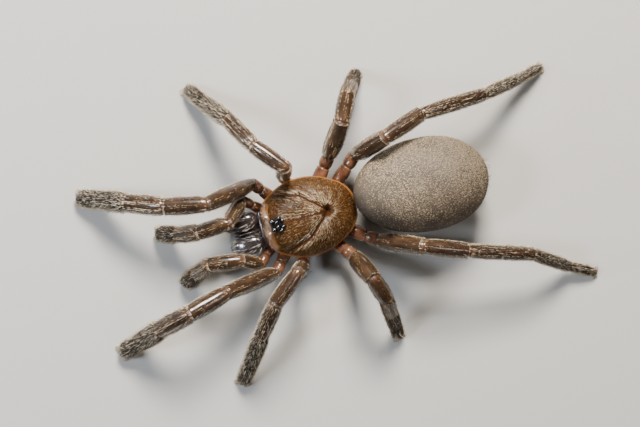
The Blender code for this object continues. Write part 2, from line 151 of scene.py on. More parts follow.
# Where each limb leaves the chest: degrees from straight ahead, and a height
ROOTS = {"palp": (22, 1.65), "leg_1": (50, 1.95), "leg_2": (78, 1.95), "leg_3": (104, 1.95), "leg_4": (136, 1.95)}
COXA_SHARE = 0.68
TIP_HEIGHT = 0.45

# Pose of each limb: the hip, then headings and pitches in degrees, article by article.
# A heading is turned outward from straight ahead, and a pitch is the rise of the article.
POSES = {
    "leg_1_right": ((4.22, -4.15, 2.9), (-8.3, 13, 23, 25, 24), (37, -14, -28, -44, -37)),
    "leg_1_left": ((4.12, -4.25, 2.9), (4.5, 13, 14, 20, 17), (32, 8, -40, -52, -39)),
    "leg_2_right": ((4.3, -1.3, 2.8), (54, 52, 66, 61, 60), (83, -13, -29, -48, -38)),
    "leg_2_left": ((4.35, -1.85, 2.8), (11, 38, 55, 61, 57), (74, -2, -35, -46, -47)),
    "leg_3_right": ((4.7, 3.3, 2.8), (118, 118, 140, 144, 138), (51, -2, -58, -64, -53)),
    "leg_3_left": ((4.65, 3.0, 2.8), (100, 112, 107, 111, 105), (60, -24, -52, -55, -45)),
    "leg_4_right": ((4.2, 5.7, 2.8), (162, 163, 178, 172, 168), (66, -15, -12, -34, -28)),
    "leg_4_left": ((3.9, 5.6, 2.8), (152, 159, 162, 151, 153), (52, -9, -12, -38, -19)),
    "palp_right": ((3.05, -5.5, 2.9), (-39, -2, 11, 23), (42, -13, -53, -51)),
    "palp_left": ((3.05, -5.5, 2.9), (-24, -9, 23, 29), (53, -10, -65, -65))}
print("limbs:", ", ".join(POSES))

# %% [markdown]
# ## Meshes from arrays
# Blender can make a mesh point by point, but the coats of hair have a million of them.
# Handing whole numpy arrays to `foreach_set` is hundreds of times faster, so every piece here,
# skin or hair, goes through one maker. Numbers per point, such as how bare the skin is,
# travel with the mesh as attributes, and the materials read them.

# %% The piece maker
UP = np.array((0.0, 0.0, 1.0))


def unit(vectors):
    """Vectors brought to length one."""
    vectors = np.asarray(vectors, float)
    return vectors / np.maximum(np.linalg.norm(vectors, axis=-1, keepdims=True), 1e-9)


def bulged(values, power):
    """Values between -1 and 1 raised to a power, with their signs kept."""
    return np.sign(values) * np.abs(values) ** power


def dot(one, other):
    """Row by row dot products, kept as a column."""
    return np.sum(one * other, axis=-1, keepdims=True)


def add_object(name, data):
    """A new object in the scene."""
    item = bpy.data.objects.new(name, data)
    bpy.context.scene.collection.objects.link(item)
    return item


def circle(sides):
    """Evenly spaced angles round a circle."""
    return np.linspace(0, 2 * np.pi, sides, endpoint=False)


def make_piece(name, points, faces, paint, slot, nodes=(), numbers=None, chart=None):
    """Makes one smooth-shaded piece from millimetre points and lists of equal-sided faces."""
    mesh = bpy.data.meshes.new(name)
    corners = np.concatenate([group.ravel() for group in faces]).astype(np.int32)
    sizes = np.concatenate([np.full(len(group), group.shape[1]) for group in faces])
    starts = np.concatenate([[0], np.cumsum(sizes)[:-1]]).astype(np.int32)
    mesh.vertices.add(len(points))
    mesh.vertices.foreach_set("co", ((points + BODY_AT) * MM).astype(np.float32).ravel())
    mesh.loops.add(len(corners))
    mesh.loops.foreach_set("vertex_index", corners)
    mesh.polygons.add(len(sizes))
    mesh.polygons.foreach_set("loop_start", starts)
    mesh.polygons.foreach_set("use_smooth", np.ones(len(sizes), bool))
    mesh.update(calc_edges=True)
    for key, values in (numbers or {}).items():
        layer = mesh.attributes.new(key, "FLOAT", "POINT")
        layer.data.foreach_set("value", np.asarray(values, np.float32))
    if chart is not None:
        layer = mesh.uv_layers.new(name="OFBake")
        layer.data.foreach_set("uv", chart[corners].astype(np.float32).ravel())
    mesh.materials.append(paint)
    piece = add_object(name, mesh)
    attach(piece, "root")
    if nodes:
        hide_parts(*nodes)
    return piece


def join_shapes(shapes):
    """Joins (points, faces, numbers) shapes into one."""
    points = np.concatenate([shape[0] for shape in shapes])
    faces = []
    start = 0
    for shape in shapes:
        faces += [group + start for group in shape[1]]
        start += len(shape[0])
    numbers = {key: np.concatenate([shape[2][key] for shape in shapes]) for key in shapes[0][2]}
    return points, faces, numbers


def loft_faces(rings, sides):
    """Faces of a closed loft: rings of points, then a start tip and an end tip."""
    row = np.arange(sides)
    after = (row + 1) % sides
    base = np.arange(rings - 1)[:, None] * sides
    quads = np.stack([base + row, base + after, base + sides + after, base + sides + row], -1).reshape(-1, 4)
    first = rings * sides
    last = (rings - 1) * sides
    start_fan = np.stack([after, row, np.full(sides, first)], -1)
    end_fan = np.stack([last + row, last + after, np.full(sides, first + 1)], -1)
    return [quads, np.concatenate([start_fan, end_fan])]


def facing_out(points, faces):
    """The faces of a closed shape, turned to face out."""
    volume = 0.0
    for group in faces:
        for corner in range(1, group.shape[1] - 1):
            one, two, three = (points[group[:, index]] for index in (0, corner, corner + 1))
            volume += np.sum(one * np.cross(two, three))
    return faces if volume > 0 else [group[:, ::-1] for group in faces]


def closed_loft(rings, tips=None):
    """Points and faces of a closed loft of rings; if its tips aren't given, they are its end rings' middles."""
    points = np.concatenate([rings.reshape(-1, 3), rings[[0, -1]].mean(1) if tips is None else tips])
    return points, facing_out(points, loft_faces(*rings.shape[:2]))


def smooth_curve(points, places):
    """Reads a smooth curve through a few (place, value) points, for a whole array of places."""
    at = np.array([point[0] for point in points], float)
    value = np.array([point[1] for point in points], float)
    before = np.maximum(np.arange(len(at)) - 1, 0)
    after = np.minimum(np.arange(len(at)) + 1, len(at) - 1)
    slope = (value[after] - value[before]) / (at[after] - at[before])
    places = np.clip(np.asarray(places, float), at[0], at[-1])
    left = np.clip(np.searchsorted(at, places, side="right") - 1, 0, len(at) - 2)
    span = at[left + 1] - at[left]
    t = (places - at[left]) / span
    return ((2 * t ** 3 - 3 * t ** 2 + 1) * value[left] + (t ** 3 - 2 * t ** 2 + t) * span * slope[left]
            + (3 * t ** 2 - 2 * t ** 3) * value[left + 1] + (t ** 3 - t ** 2) * span * slope[left + 1])


def with_tips(values):
    """Numbers for a loft's ring points, followed by nothing at its two tips."""
    return np.append(values, (0.0, 0.0))


def fade(distance, reach):
    """A soft bump: one at no distance, falling to nothing over the reach."""
    return np.exp(-(distance / reach) ** 2)


def ramp(value, low, high):
    """Smoothly from 0 at low to 1 at high."""
    t = np.clip((value - low) / (high - low), 0.0, 1.0)
    return t * t * (3 - 2 * t)


# %% [markdown]
# ## Finishes
# A spider's cuticle is thin, hard and varnished, darker where it is thick and orange where light
# gets through. Painting it with an image would tie it to one view. Procedural nodes
# read the point attributes and some noise instead, so the finish holds from any side.

# %% Material helpers
def new_paint(name):
    """A new material with a Principled shader."""
    paint = bpy.data.materials.new(name)
    paint.use_nodes = True
    return paint


def put(made, key, value):
    """Sets an input of a node: a socket is linked to it, and a colour or a number is written on it."""
    if isinstance(value, bpy.types.NodeSocket):
        made.id_data.links.new(value, made.inputs[key])
    else:
        made.inputs[key].default_value = (*value, 1.0) if isinstance(value, tuple) else value


def add(tree, kind, inputs, **settings):
    """Adds a node with its settings and its inputs."""
    made = tree.nodes.new(kind)
    for key, value in settings.items():
        setattr(made, key, value)
    for key, value in inputs.items():
        put(made, key, value)
    return made


def number(paint, name):
    """The value of a point attribute."""
    return add(paint.node_tree, "ShaderNodeAttribute", {}, attribute_name=name).outputs["Fac"]


def noise(paint, scale, detail=4.0):
    """Noise over the object's own place, with its scale in features for each metre."""
    place = add(paint.node_tree, "ShaderNodeTexCoord", {}).outputs["Object"]
    inputs = {"Vector": place, "Scale": scale, "Detail": detail}
    return add(paint.node_tree, "ShaderNodeTexNoise", inputs).outputs["Fac"]


def scaled(value, low, high, to_low=0.0, to_high=1.0):
    """Maps a value from one range to another, clamped."""
    return add(value.id_data, "ShaderNodeMapRange", {
        "Value": value, "From Min": low, "From Max": high, "To Min": to_low, "To Max": to_high}).outputs["Result"]


def blend(share, one, other):
    """Mixes two colours, each a socket or three linear numbers."""
    return add(share.id_data, "ShaderNodeMix", {0: share, 6: one, 7: other}, data_type="RGBA").outputs[2]


def layered(colour, *layers):
    """A colour with layers over it, each a share and another colour."""
    for share, layer in layers:
        colour = blend(share, colour, layer)
    return colour


def finish(paint, sockets, height=None, strength=0.0, depth=0.0):
    """Sets the shader's inputs by name. A height adds a bump, with its depth in millimetres."""
    shader = paint.node_tree.nodes["Principled BSDF"]
    if height is not None:
        relief = {"Height": height, "Strength": strength, "Distance": depth * MM}
        sockets = sockets | {"Normal": add(paint.node_tree, "ShaderNodeBump", relief).outputs["Normal"]}
    for key, value in sockets.items():
        put(shader, key, value)
    return paint


# %% [markdown]
# ## One hair, then thousands upon thousands
# A spider's hair is a thin tapered bristle that leaves the skin at an angle and bends flat.
# Particle hair would not survive an export, so each hair is a closed blade of ten triangles:
# three points at the root, three halfway, one at the tip. The shortest ones are straight spikes of four.
# All hairs of a coat are computed at once. Each keeps its tone, its paleness and how far along it
# a point is, for its colour.
# The OFBake map puts each hair in a tiny patch at its root's place on the skin's own unwrap.

# %% The hair maker
HAIR_FLATNESS = 0.55
HAIR_TAPER = 0.2
HAIR_ROOT_DEPTH = 0.04
HAIR_CORNERS = ((0.0, 1.0), (0.87, -0.5), (-0.87, -0.5))
PATCH = 0.003
PATCH_SPOTS = PATCH * np.array(
    ((0.0, 0.0), (0.35, 0.0), (0.0, 0.35), (0.5, 0.5), (0.8, 0.5), (0.5, 0.8), (1.0, 1.0)))


def hair_shapes(roots, normals, lies, lengths, widths, rises, settles, tones, pales, charts, halves=2):
    """Points, faces, numbers and chart of many hairs, each of two halves that bend, or a single straight one.

    A hair leaves its root along its lie, raised by `rises` degrees, and settles by `settles` degrees at the tip.
    A size or a tone is one number for all hairs, or one for each."""
    count = len(roots)
    lengths, widths, rises, tones, pales = (
        np.broadcast_to(values, count) for values in (lengths, widths, rises, tones, pales))
    lies = unit(lies - normals * dot(lies, normals))
    across = np.cross(normals, lies)
    centres = [roots - normals * HAIR_ROOT_DEPTH]
    points = np.empty((count, 3 * halves + 1, 3))
    for half in range(halves):
        angle = np.radians(rises - settles * (half + 0.5) / halves)[:, None]
        aim = lies * np.cos(angle) + normals * np.sin(angle)
        upper = np.cross(aim, across)
        thick = (widths * (1 - HAIR_TAPER * half) / 2)[:, None]
        for corner, (side, up) in enumerate(HAIR_CORNERS):
            points[:, half * 3 + corner] = centres[-1] + (across * side + upper * up * HAIR_FLATNESS) * thick
        centres.append(centres[-1] + aim * lengths[:, None] / halves)
    points[:, -1] = centres[-1]
    tip = 3 * halves
    start = np.arange(count)[:, None, None] * (tip + 1)
    ends = np.array(((tip - 2, tip - 3, tip), (tip - 1, tip - 2, tip), (tip - 3, tip - 1, tip), (0, 1, 2)))
    faces = [(start + ends).reshape(-1, 3)]
    if halves == 2:
        faces.append((start + np.array(((1, 0, 3, 4), (2, 1, 4, 5), (0, 2, 5, 3)))).reshape(-1, 4))
    numbers = {"tone": np.repeat(tones, tip + 1), "pale": np.repeat(pales, tip + 1),
               "along": np.tile(np.append(np.repeat(np.arange(halves) / halves, 3), 1.0), count)}
    spots = PATCH_SPOTS[list(range(tip)) + [-1]]
    chart = (charts[:, None, :] * (1 - 2 * PATCH) + spots[None]).reshape(-1, 2)
    return points.reshape(-1, 3), faces, numbers, chart


def make_coat(name, lots, paint, slot):
    """Joins several lots of hair into one coat piece."""
    points, faces, numbers = join_shapes([lot[:3] for lot in lots])
    chart = np.concatenate([lot[3] for lot in lots])
    make_piece(name, points, faces, paint, slot, numbers=numbers, chart=chart)
    print(name, sum(len(group) * (group.shape[1] - 2) for group in faces), "triangles")


def varied(rng, count, middles, spreads):
    """Random sizes round middle ones. A size with no spread is left as it is, with no draw."""
    return [middle * (1 + spread * rng.uniform(-1, 1, count)) if spread else middle
            for middle, spread in zip(middles, spreads)]


# %% Hair colours
MIDDLE_TONE = 0.6
PALER_FROM = 0.2


def hair_paint(name, dark, middle, light, pale, roughness=0.5, tip_paleness=0.16):
    """Hair that runs from dark to light by its tone, with pale hairs apart, and lighter tips."""
    paint = new_paint(name)
    tone = number(paint, "tone")
    tip = scaled(number(paint, "along"), PALER_FROM, 1.0, 0.0, tip_paleness)
    colour = layered(dark, (scaled(tone, 0.0, MIDDLE_TONE), middle), (scaled(tone, MIDDLE_TONE, 1.0), light),
                     (number(paint, "pale"), pale), (tip, pale))
    return finish(paint, {"Base Color": colour, "Roughness": roughness, "Specular IOR Level": 0.08})


LEG_HAIR = hair_paint("leg_hair", (0.014, 0.010, 0.008), (0.15, 0.082, 0.034), (0.62, 0.42, 0.21),
                      (0.95, 0.82, 0.62), 0.6, 0.04)
ABDOMEN_HAIR = hair_paint("abdomen_pile", (0.022, 0.014, 0.009), (0.17, 0.108, 0.060), (0.96, 0.75, 0.47),
                          (0.8, 0.66, 0.45), 0.55)
CREAM_HAIR = hair_paint("carapace_down", (0.12, 0.06, 0.02), (0.36, 0.24, 0.115), (0.74, 0.58, 0.37),
                        (0.84, 0.72, 0.52), 0.35)
JAW_HAIR = hair_paint("jaw_hair", (0.010, 0.008, 0.008), (0.045, 0.037, 0.034), (0.36, 0.31, 0.28),
                      (0.80, 0.72, 0.66), 0.35)

# %% [markdown]
# ## The carapace
# The carapace is a single domed plate. The head region rises in front, and grooves run from
# a pit, the fovea, to the edge between the leg roots. Over the jaws, its pale front edge swells into
# two level lobes that catch the light. Sculpting it by hand would work, but a polar grid
# whose height is one formula keeps the same plate as the solid, with sharper grooves added.

# %% Carapace height
RIM_HEIGHT = CARAPACE_UNDERSIDE + CARAPACE_RIM
CARAPACE_SHOULDER = 0.8
CEPHALIC_PATH = (FOVEA, (1.9, -0.55), (2.72, -3.2))
THORACIC = (0.15, 0.3, 0.6), (0.45, 0.2, 1.0)
# Each groove of one side: its path; its depth, half-width and the share of it lost on the way; then its darkness
# in the same way
GROOVES = (
    (CEPHALIC_PATH, (0.26, 0.32, 0.4), (0.75, 0.11, 0.3)),
    (CEPHALIC_PATH, (0.05, 0.12, 0.0), (0.0, 0.12, 0.0)),
    ((FOVEA, (3.4, -0.5)), *THORACIC), ((FOVEA, (3.2, 1.9)), *THORACIC), ((FOVEA, (2.0, 3.5)), *THORACIC),
    (((0.0, 1.3), (0.0, -2.3)), (0.07, 0.12, 1.0), (0.95, 0.10, 0.4)),
    ((FOVEA, (0.18, 1.5)), (0.10, 0.16, 0.0), (1.0, 0.08, 0.0)))


def path_distance(x, y, path):
    """How far plan points lie from a path of straight lines, and how far along its last line."""
    distance = np.inf
    for start, end in zip(path[:-1], path[1:]):
        line = np.subtract(end, start)
        share = np.clip(((x - start[0]) * line[0] + (y - start[1]) * line[1]) / (line @ line), 0.0, 1.0)
        distance = np.minimum(distance, np.hypot(x - start[0] - line[0] * share, y - start[1] - line[1] * share))
    return distance, share


def carapace_reach(angle):
    """The carapace's plan radius at an angle from straight ahead."""
    return smooth_curve(CARAPACE_OUTLINE, np.degrees(np.abs(angle)))


def carapace_plan(share, turn):
    """Plan points at a share of the way out to the carapace's edge."""
    reach = share * carapace_reach(turn)
    return reach * np.sin(turn), -reach * np.cos(turn)


def carapace_grooves(x, y):
    """Depth of all grooves at plan points, and how dark they look there."""
    depth = dark = 0.0
    for path, (deep, wide, shallower), (black, narrow, paler) in GROOVES:
        distance, share = path_distance(np.abs(x), y, path)
        depth = depth + deep * fade(distance, wide) * (1 - shallower * share)
        dark = np.maximum(dark, black * fade(distance, narrow) * (1 - paler * share))
    return depth, dark


def carapace_height(x, y):
    """The height of the carapace's upper surface at plan points."""
    angle = np.arctan2(x, -y)
    share = np.minimum(np.hypot(x, y) / carapace_reach(angle), 1.0)
    top = smooth_curve(CARAPACE_MIDLINE, y) - carapace_grooves(x, y)[0]
    top = top + EYE_MOUND_HEIGHT * fade(np.hypot(x, y - EYE_MOUND_Y), EYE_MOUND_RADIUS)
    ahead = np.maximum(np.cos(angle), 0.0) ** 4
    fall = CARAPACE_SIDE_FALL + (CARAPACE_FRONT_FALL - CARAPACE_SIDE_FALL) * ahead
    return RIM_HEIGHT + (top - RIM_HEIGHT) * (1 - share ** fall) ** CARAPACE_SHOULDER


# %% Carapace paint
SHELL_DARK, SHELL_AMBER = (0.028, 0.011, 0.0028), (0.056, 0.023, 0.0055)
SPECK_LIGHT, SPECK_DARK = (0.13, 0.062, 0.019), (0.018, 0.007, 0.003)
GROOVE_BROWN, GROOVE_BLACK = (0.038, 0.012, 0.005), (0.010, 0.004, 0.002)
BAND_BROWN, BAND_CREAM = (0.085, 0.037, 0.014), (0.27, 0.15, 0.085)
EDGE_ORANGE, MOUND_BLACK = (0.28, 0.10, 0.016), (0.005, 0.003, 0.002)


def carapace_paint():
    """Amber-brown varnish, dark in the grooves, orange at the thin edge, with a pale, glossy front band."""
    paint = new_paint("carapace_shell")
    speckle, cloud = noise(paint, 5200.0, 5.0), noise(paint, 420.0, 3.0)
    dark, clypeus = number(paint, "dark"), number(paint, "clypeus")
    band = blend(scaled(noise(paint, 800.0, 2.0), 0.35, 0.65), BAND_BROWN, BAND_CREAM)
    colour = layered(
        SHELL_DARK, (scaled(cloud, 0.35, 0.65), SHELL_AMBER), (scaled(speckle, 0.5, 0.68, 0.0, 0.6), SPECK_LIGHT),
        (scaled(speckle, 0.46, 0.36, 0.0, 0.45), SPECK_DARK), (scaled(dark, 0.1, 0.6), GROOVE_BROWN),
        (scaled(dark, 0.7, 1.05), GROOVE_BLACK), (number(paint, "edge"), EDGE_ORANGE), (clypeus, band),
        (number(paint, "mound"), MOUND_BLACK))
    return finish(paint, {"Base Color": colour, "Roughness": scaled(clypeus, 0.0, 1.0, 0.42, 0.16),
                          "Specular IOR Level": 0.11, "Coat Weight": clypeus, "Coat IOR": 2.4,
                          "Coat Roughness": 0.15}, speckle, 0.5, 0.06)


# %% Make the carapace
CARAPACE_SIDES = 256
CARAPACE_RINGS = 96
# The rings under the edge: a share of the rim's depth, and a share of the outline
UNDER_RINGS = ((0.35, 1.004), (0.7, 0.995), (1.0, 0.97), (1.0, 0.8), (1.0, 0.4))
CLYPEUS_INNER = 0.868
CLYPEUS_NARROWING = 0.035
# Degrees from straight ahead where the band starts to narrow, where it starts to fade and where it ends
CLYPEUS_ANGLES = (6.0, 26.0, 32.0)
# Each lobe of the front band: its middle and half-width across the front
LOBES = ((-1.15, 0.5), (0.85, 0.55))
LOBE_FULLNESS = 1.2
LOBE_SLOPE = 0.526
LOBE_SQUARENESS = 6
# The orange of the rim, of the seam behind the front band and of the band's own edge
RIM_BLUSH = (0.955, 0.995)
SEAM, SEAM_AHEAD, SEAM_WIDTH = 0.7, 0.006, 0.010
BAND_EDGE, BAND_EDGE_FROM = 0.4, 0.985
MOUND_REACH = 0.66


def clypeus_lobes(x, y, share):
    """The carapace's height with its front edge swollen into two level lobes over the jaws."""
    height = carapace_height(x, y)
    back = np.minimum(CLYPEUS_INNER / share, 1.0)
    level = carapace_height(x * back, y * back) + LOBE_SLOPE * y * (1 - back)
    reach = np.clip((share - CLYPEUS_INNER) / (1 - CLYPEUS_INNER), 0.0, 1.0)
    swollen = RIM_HEIGHT + (level - RIM_HEIGHT) * np.sqrt(1 - reach ** LOBE_SQUARENESS)
    lobes = sum(fade(x - middle, half) for middle, half in LOBES) * (y < 0)
    return height + np.clip(LOBE_FULLNESS * lobes, 0, 1) * np.maximum(swollen - height, 0)


def carapace_numbers(points, share, front):
    """What the paint reads at each point, from its share of the way out and its degrees from straight ahead."""
    straight, side, end = CLYPEUS_ANGLES
    ahead = ramp(front, end, side)
    inner = CLYPEUS_INNER + CLYPEUS_NARROWING * ramp(front, straight, side)
    front_lines = SEAM * fade(share - inner + SEAM_AHEAD, SEAM_WIDTH) + BAND_EDGE * ramp(share, BAND_EDGE_FROM, 1.0)
    edge = ramp(share, *RIM_BLUSH) * (1 - ahead) + ahead * front_lines
    mound = fade(np.hypot(points[:, 0] * 0.9, points[:, 1] - EYE_MOUND_Y), MOUND_REACH) ** 2
    return {"dark": carapace_grooves(points[:, 0], points[:, 1])[1], "edge": np.clip(edge, 0, 1),
            "clypeus": ramp(share, inner, inner + 0.02) * ahead, "mound": np.clip(mound * 2.0, 0, 1)}


def make_carapace():
    """The shield as a polar grid, its underside closed flat."""
    angle = np.linspace(-np.pi, np.pi, CARAPACE_SIDES, endpoint=False)
    outward = 1 - (1 - np.linspace(0, 1, CARAPACE_RINGS + 1)[1:]) ** 1.5
    share, turn = np.meshgrid(outward, angle, indexing="ij")
    x, y = carapace_plan(share, turn)
    top = np.stack([x, y, clypeus_lobes(x, y, share)], -1)
    under = [top[-1] * (pull, pull, 0.0) + UP * (RIM_HEIGHT - CARAPACE_RIM * drop) for drop, pull in UNDER_RINGS]
    rings = np.concatenate([top, under])
    points, faces = closed_loft(rings, np.outer((carapace_height(0.0, 0.0), CARAPACE_UNDERSIDE), UP))
    share = with_tips(np.concatenate([share, np.ones((len(under), CARAPACE_SIDES))]))
    front = with_tips(np.degrees(np.abs(np.tile(angle, len(rings)))))
    make_piece("carapace_shell", points, faces, carapace_paint(), "carapace", ("carapace",),
               carapace_numbers(points, share, front))
    print("carapace points:", len(points))


make_carapace()

# %% [markdown]
# ## The eyes
# Eight small lenses sit on a dark mound near the front edge. They could be painted dots, but
# it is the glint on a wet-looking dome that makes an eye, so each is its own glossy black ball,
# sunk a third of its height into the mound. The lens is a hair wider than its solid, so that
# neighbours all but touch, as they do in life.

# %% Balls of any shape
def ball(rings, sides, place, pole="y"):
    """A closed ball whose unit points are moved by `place`; returns its points and faces."""
    polar, around = np.meshgrid(np.linspace(0, np.pi, rings + 2)[1:-1], circle(sides), indexing="ij")
    one, other = np.sin(polar) * np.cos(around), np.sin(polar) * np.sin(around)
    flat = np.concatenate([np.stack([one, other, -np.cos(polar)], -1).reshape(-1, 3), -UP[None], UP[None]])
    points = place(flat[:, {"z": (0, 1, 2), "y": (0, 2, 1)}[pole]])
    return points, facing_out(points, loft_faces(rings, sides))


def set_in(axes, centre, half):
    """A mover for a ball: stretched to three half-sizes, turned to three axes and set at a centre."""
    def place(points):
        return centre + (points * half) @ axes
    return place


# %% Make the eyes
UPRIGHT = np.eye(3)
EYE_GLOSS = finish(new_paint("eye_lens"), {
    "Base Color": (0.002, 0.002, 0.003), "Roughness": 0.05, "Specular IOR Level": 0.6, "Coat Weight": 1.0,
    "Coat Roughness": 0.02})


def make_eye(name, x, y, radius):
    """One lens, sunk a share of its height into the mound."""
    centre = (x, y, carapace_height(x, y) + radius * (1 - 2 * EYE_SINK))
    lens = ball(22, 32, set_in(UPRIGHT, centre, radius + LENS_GROWTH), "z")
    make_piece(name + "_lens", *lens, EYE_GLOSS, "eyes", (name,))


for eye, (across, ahead, radius) in EYES.items():
    for side_name, side in SIDES.items():
        make_eye(f"eye_{eye}_{side_name}", side * across, ahead, radius)
print("eyes:", 2 * len(EYES))

# %% [markdown]
# ## The abdomen
# The abdomen is a soft, thin-skinned egg under a velvet of very short hairs. It could be a
# subdivided sphere. Here it is the same egg formula as the solid, one coat's depth smaller,
# with a faint unevenness, so that the hairs end where the solid does.

# %% Abdomen form
ABDOMEN_COAT_DEPTH = 0.1
# Faint dents along both sides of the back: their depth, place aside, half-width, spacing and half-length
DENT_DEPTH, DENT_ASIDE, DENT_WIDTH, DENT_SPACING, DENT_LENGTH = 0.010, 0.42, 0.12, 0.5, 0.16


def tilted(degrees):
    """Three axes turned about the sideways one."""
    cosine, sine = math.cos(math.radians(degrees)), math.sin(math.radians(degrees))
    return np.array(((1, 0, 0), (0, cosine, sine), (0, -sine, cosine)))


def swung(degrees):
    """Three axes turned about the upright one."""
    cosine, sine = math.cos(math.radians(degrees)), math.sin(math.radians(degrees))
    return np.array(((cosine, sine, 0), (-sine, cosine, 0), (0, 0, 1)))


# The abdomen's front is raised, then it is swung aside
ABDOMEN_AXES = tilted(-ABDOMEN_PITCH) @ swung(-ABDOMEN_TURN)


def abdomen_point(unit_points):
    """Points of the abdomen's skin for points of a unit ball."""
    x, y, z = unit_points.T
    fuller = 1 + ABDOMEN_FULLNESS * y
    dent = fade(np.abs(x) - DENT_ASIDE, DENT_WIDTH) * fade(np.abs(y) % DENT_SPACING - DENT_SPACING / 2, DENT_LENGTH)
    local = np.stack([x * fuller, bulged(y, ABDOMEN_BLUNTNESS), z * fuller * (1 - DENT_DEPTH * dent * (z > 0))], -1)
    return ABDOMEN_CENTRE + local * (ABDOMEN_SIZE / 2 - ABDOMEN_COAT_DEPTH) @ ABDOMEN_AXES


def abdomen_paint():
    """Dark olive-brown skin seen between the hairs."""
    paint = new_paint("abdomen_skin")
    cloud, grain = noise(paint, 500.0, 3.0), noise(paint, 9000.0, 2.0)
    colour = layered((0.040, 0.028, 0.019), (scaled(cloud, 0.35, 0.65), (0.085, 0.061, 0.043)),
                     (scaled(grain, 0.45, 0.7, 0.0, 0.5), (0.15, 0.115, 0.082)))
    return finish(paint, {"Base Color": colour, "Roughness": 0.7}, grain, 0.6, 0.03)


ABDOMEN_PAINT = abdomen_paint()
abdomen = make_piece("abdomen_skin", *ball(110, 160, abdomen_point), ABDOMEN_PAINT, "abdomen", ("abdomen",))
print("abdomen points:", len(abdomen.data.vertices))

# %% [markdown]
# ## The chest and the waist
# Under the carapace the coxae close round a plate called the sternum, and a narrow waist joins
# the two halves of the body. They hardly show, so simple rounded forms with a good finish do.

# %% Make the chest and waist
def cuticle_paint(name, dark, light, roughness=0.32):
    """Plain varnished cuticle with a cloudy tint."""
    paint = new_paint(name)
    colour = blend(scaled(noise(paint, 700.0), 0.35, 0.65), dark, light)
    return finish(paint, {"Base Color": colour, "Roughness": roughness, "Coat Weight": 0.4, "Coat Roughness": 0.15},
                  noise(paint, 6000.0, 3.0), 0.25, 0.02)


def core_place(points):
    """A rounded block: level sides pushed out and the top and bottom flattened."""
    level = np.hypot(points[:, 0], points[:, 1])
    spread = level ** CORE_ROUNDNESS[0] / np.maximum(level, 1e-6)
    flat = bulged(points[:, 2], CORE_ROUNDNESS[1])
    return CORE_CENTRE + np.stack([points[:, 0] * spread, points[:, 1] * spread, flat], -1) * CORE_HALF


def waist_place(points):
    """A short tube, a little narrower halfway."""
    start, end = np.array(WAIST[0]), np.array(WAIST[1])
    middle, half = (start + end) / 2, (end - start) / 2
    level = np.hypot(points[:, 0], points[:, 2])
    ring = level ** 0.35 / np.maximum(level, 1e-6) * WAIST_RADIUS * (0.8 + 0.2 * points[:, 1] ** 2)
    return middle + points[:, 1:2] * half + np.stack([points[:, 0] * ring, 0 * ring, points[:, 2] * ring], -1)


CORE_PAINT = cuticle_paint("sternum_cuticle", (0.06, 0.022, 0.010), (0.14, 0.055, 0.022))
WAIST_PAINT = cuticle_paint("waist_membrane", (0.20, 0.11, 0.065), (0.33, 0.20, 0.13), 0.45)
make_piece("sternum_plate", *ball(40, 72, core_place, "z"), CORE_PAINT, "legs", ("sternum",))
make_piece("waist_skin", *ball(24, 32, waist_place), WAIST_PAINT, "waist", ("pedicel",))
print("chest and waist made")

# %% [markdown]
# ## The jaws and fangs
# Each chelicera is a stout, slightly drooping block, almost black, with hairs in lengthwise rows
# and a gloss between them. The fang folds back under it like a pocket knife. The block is
# the solid's own rounded form at a finer grid, and the fang is a tapered hook.

# %% Jaw form
JAW_COAT_DEPTH = 0.05


def jaw_place(side):
    """A mover from a unit ball to one jaw."""
    back, front = CHELICERA_ROUNDNESS

    def place(points):
        ahead = (1 - points[:, 1]) / 2
        narrow = 1 - CHELICERA_TAPER * ahead ** 2
        inner = np.where(points[:, 0] * side < 0, 1.0, narrow)
        level = back + (front - back) * ahead
        full = bulged(points, np.stack([level, level, np.full(len(points), back)], -1))
        stretch = np.stack([inner, np.ones(len(points)), narrow], -1) * (CHELICERA_SIZE / 2 - JAW_COAT_DEPTH)
        return CHELICERA_CENTRE * (side, 1, 1) + (full * stretch) @ tilted(CHELICERA_DROOP)
    return place


def jaw_paint():
    """Near-black cuticle, reddish where it thins, with a cool gloss."""
    paint = new_paint("jaw_cuticle")
    colour = blend(scaled(noise(paint, 900.0), 0.4, 0.7), (0.008, 0.006, 0.007), (0.028, 0.014, 0.010))
    return finish(paint, {"Base Color": colour, "Roughness": 0.3, "Coat Weight": 1.0, "Coat Roughness": 0.12,
                          "Coat IOR": 1.9}, noise(paint, 5000.0, 3.0), 0.3, 0.03)


def hook(base, pitches, length, radius, thin=0.2, steps=28, sides=24):
    """A tapered hook that curls in the plane ahead of its base."""
    share = np.linspace(0, 1, steps)
    pitch = np.radians(pitches[0] + (pitches[1] - pitches[0]) * share)
    aims = np.stack([np.zeros(steps), np.cos(pitch), np.sin(pitch)], -1)
    spine = base + np.concatenate([np.zeros((1, 3)), np.cumsum(aims[:-1], 0)]) * length / (steps - 1)
    around = circle(sides)[None, :, None]
    thick = radius * (1 - (1 - thin) * share ** 1.2)[:, None, None]
    upper = np.cross(aims, UPRIGHT[0])[:, None]
    rings = spine[:, None] + np.cos(around) * thick * UPRIGHT[0] + np.sin(around) * thick * upper
    return closed_loft(rings, (spine[0] - aims[0] * radius * 0.5, spine[-1] + aims[-1] * thick[-1, 0]))


# %% Make the jaws
# Each fold of soft skin between the jaws: its centre and its half-sizes
FOLDS = (((0.0, -4.42, 2.95), (1.75, 0.34, 0.42)), ((0.0, -5.75, 2.45), (0.22, 1.35, 0.85)))
JAW_PAINT = jaw_paint()
FOLD_PAINT = cuticle_paint("jaw_fold", (0.012, 0.006, 0.004), (0.03, 0.014, 0.009))
FANG_GLOSS = finish(new_paint("fang_gloss"), {
    "Base Color": (0.012, 0.006, 0.004), "Roughness": 0.18, "Coat Weight": 0.8, "Coat Roughness": 0.06})

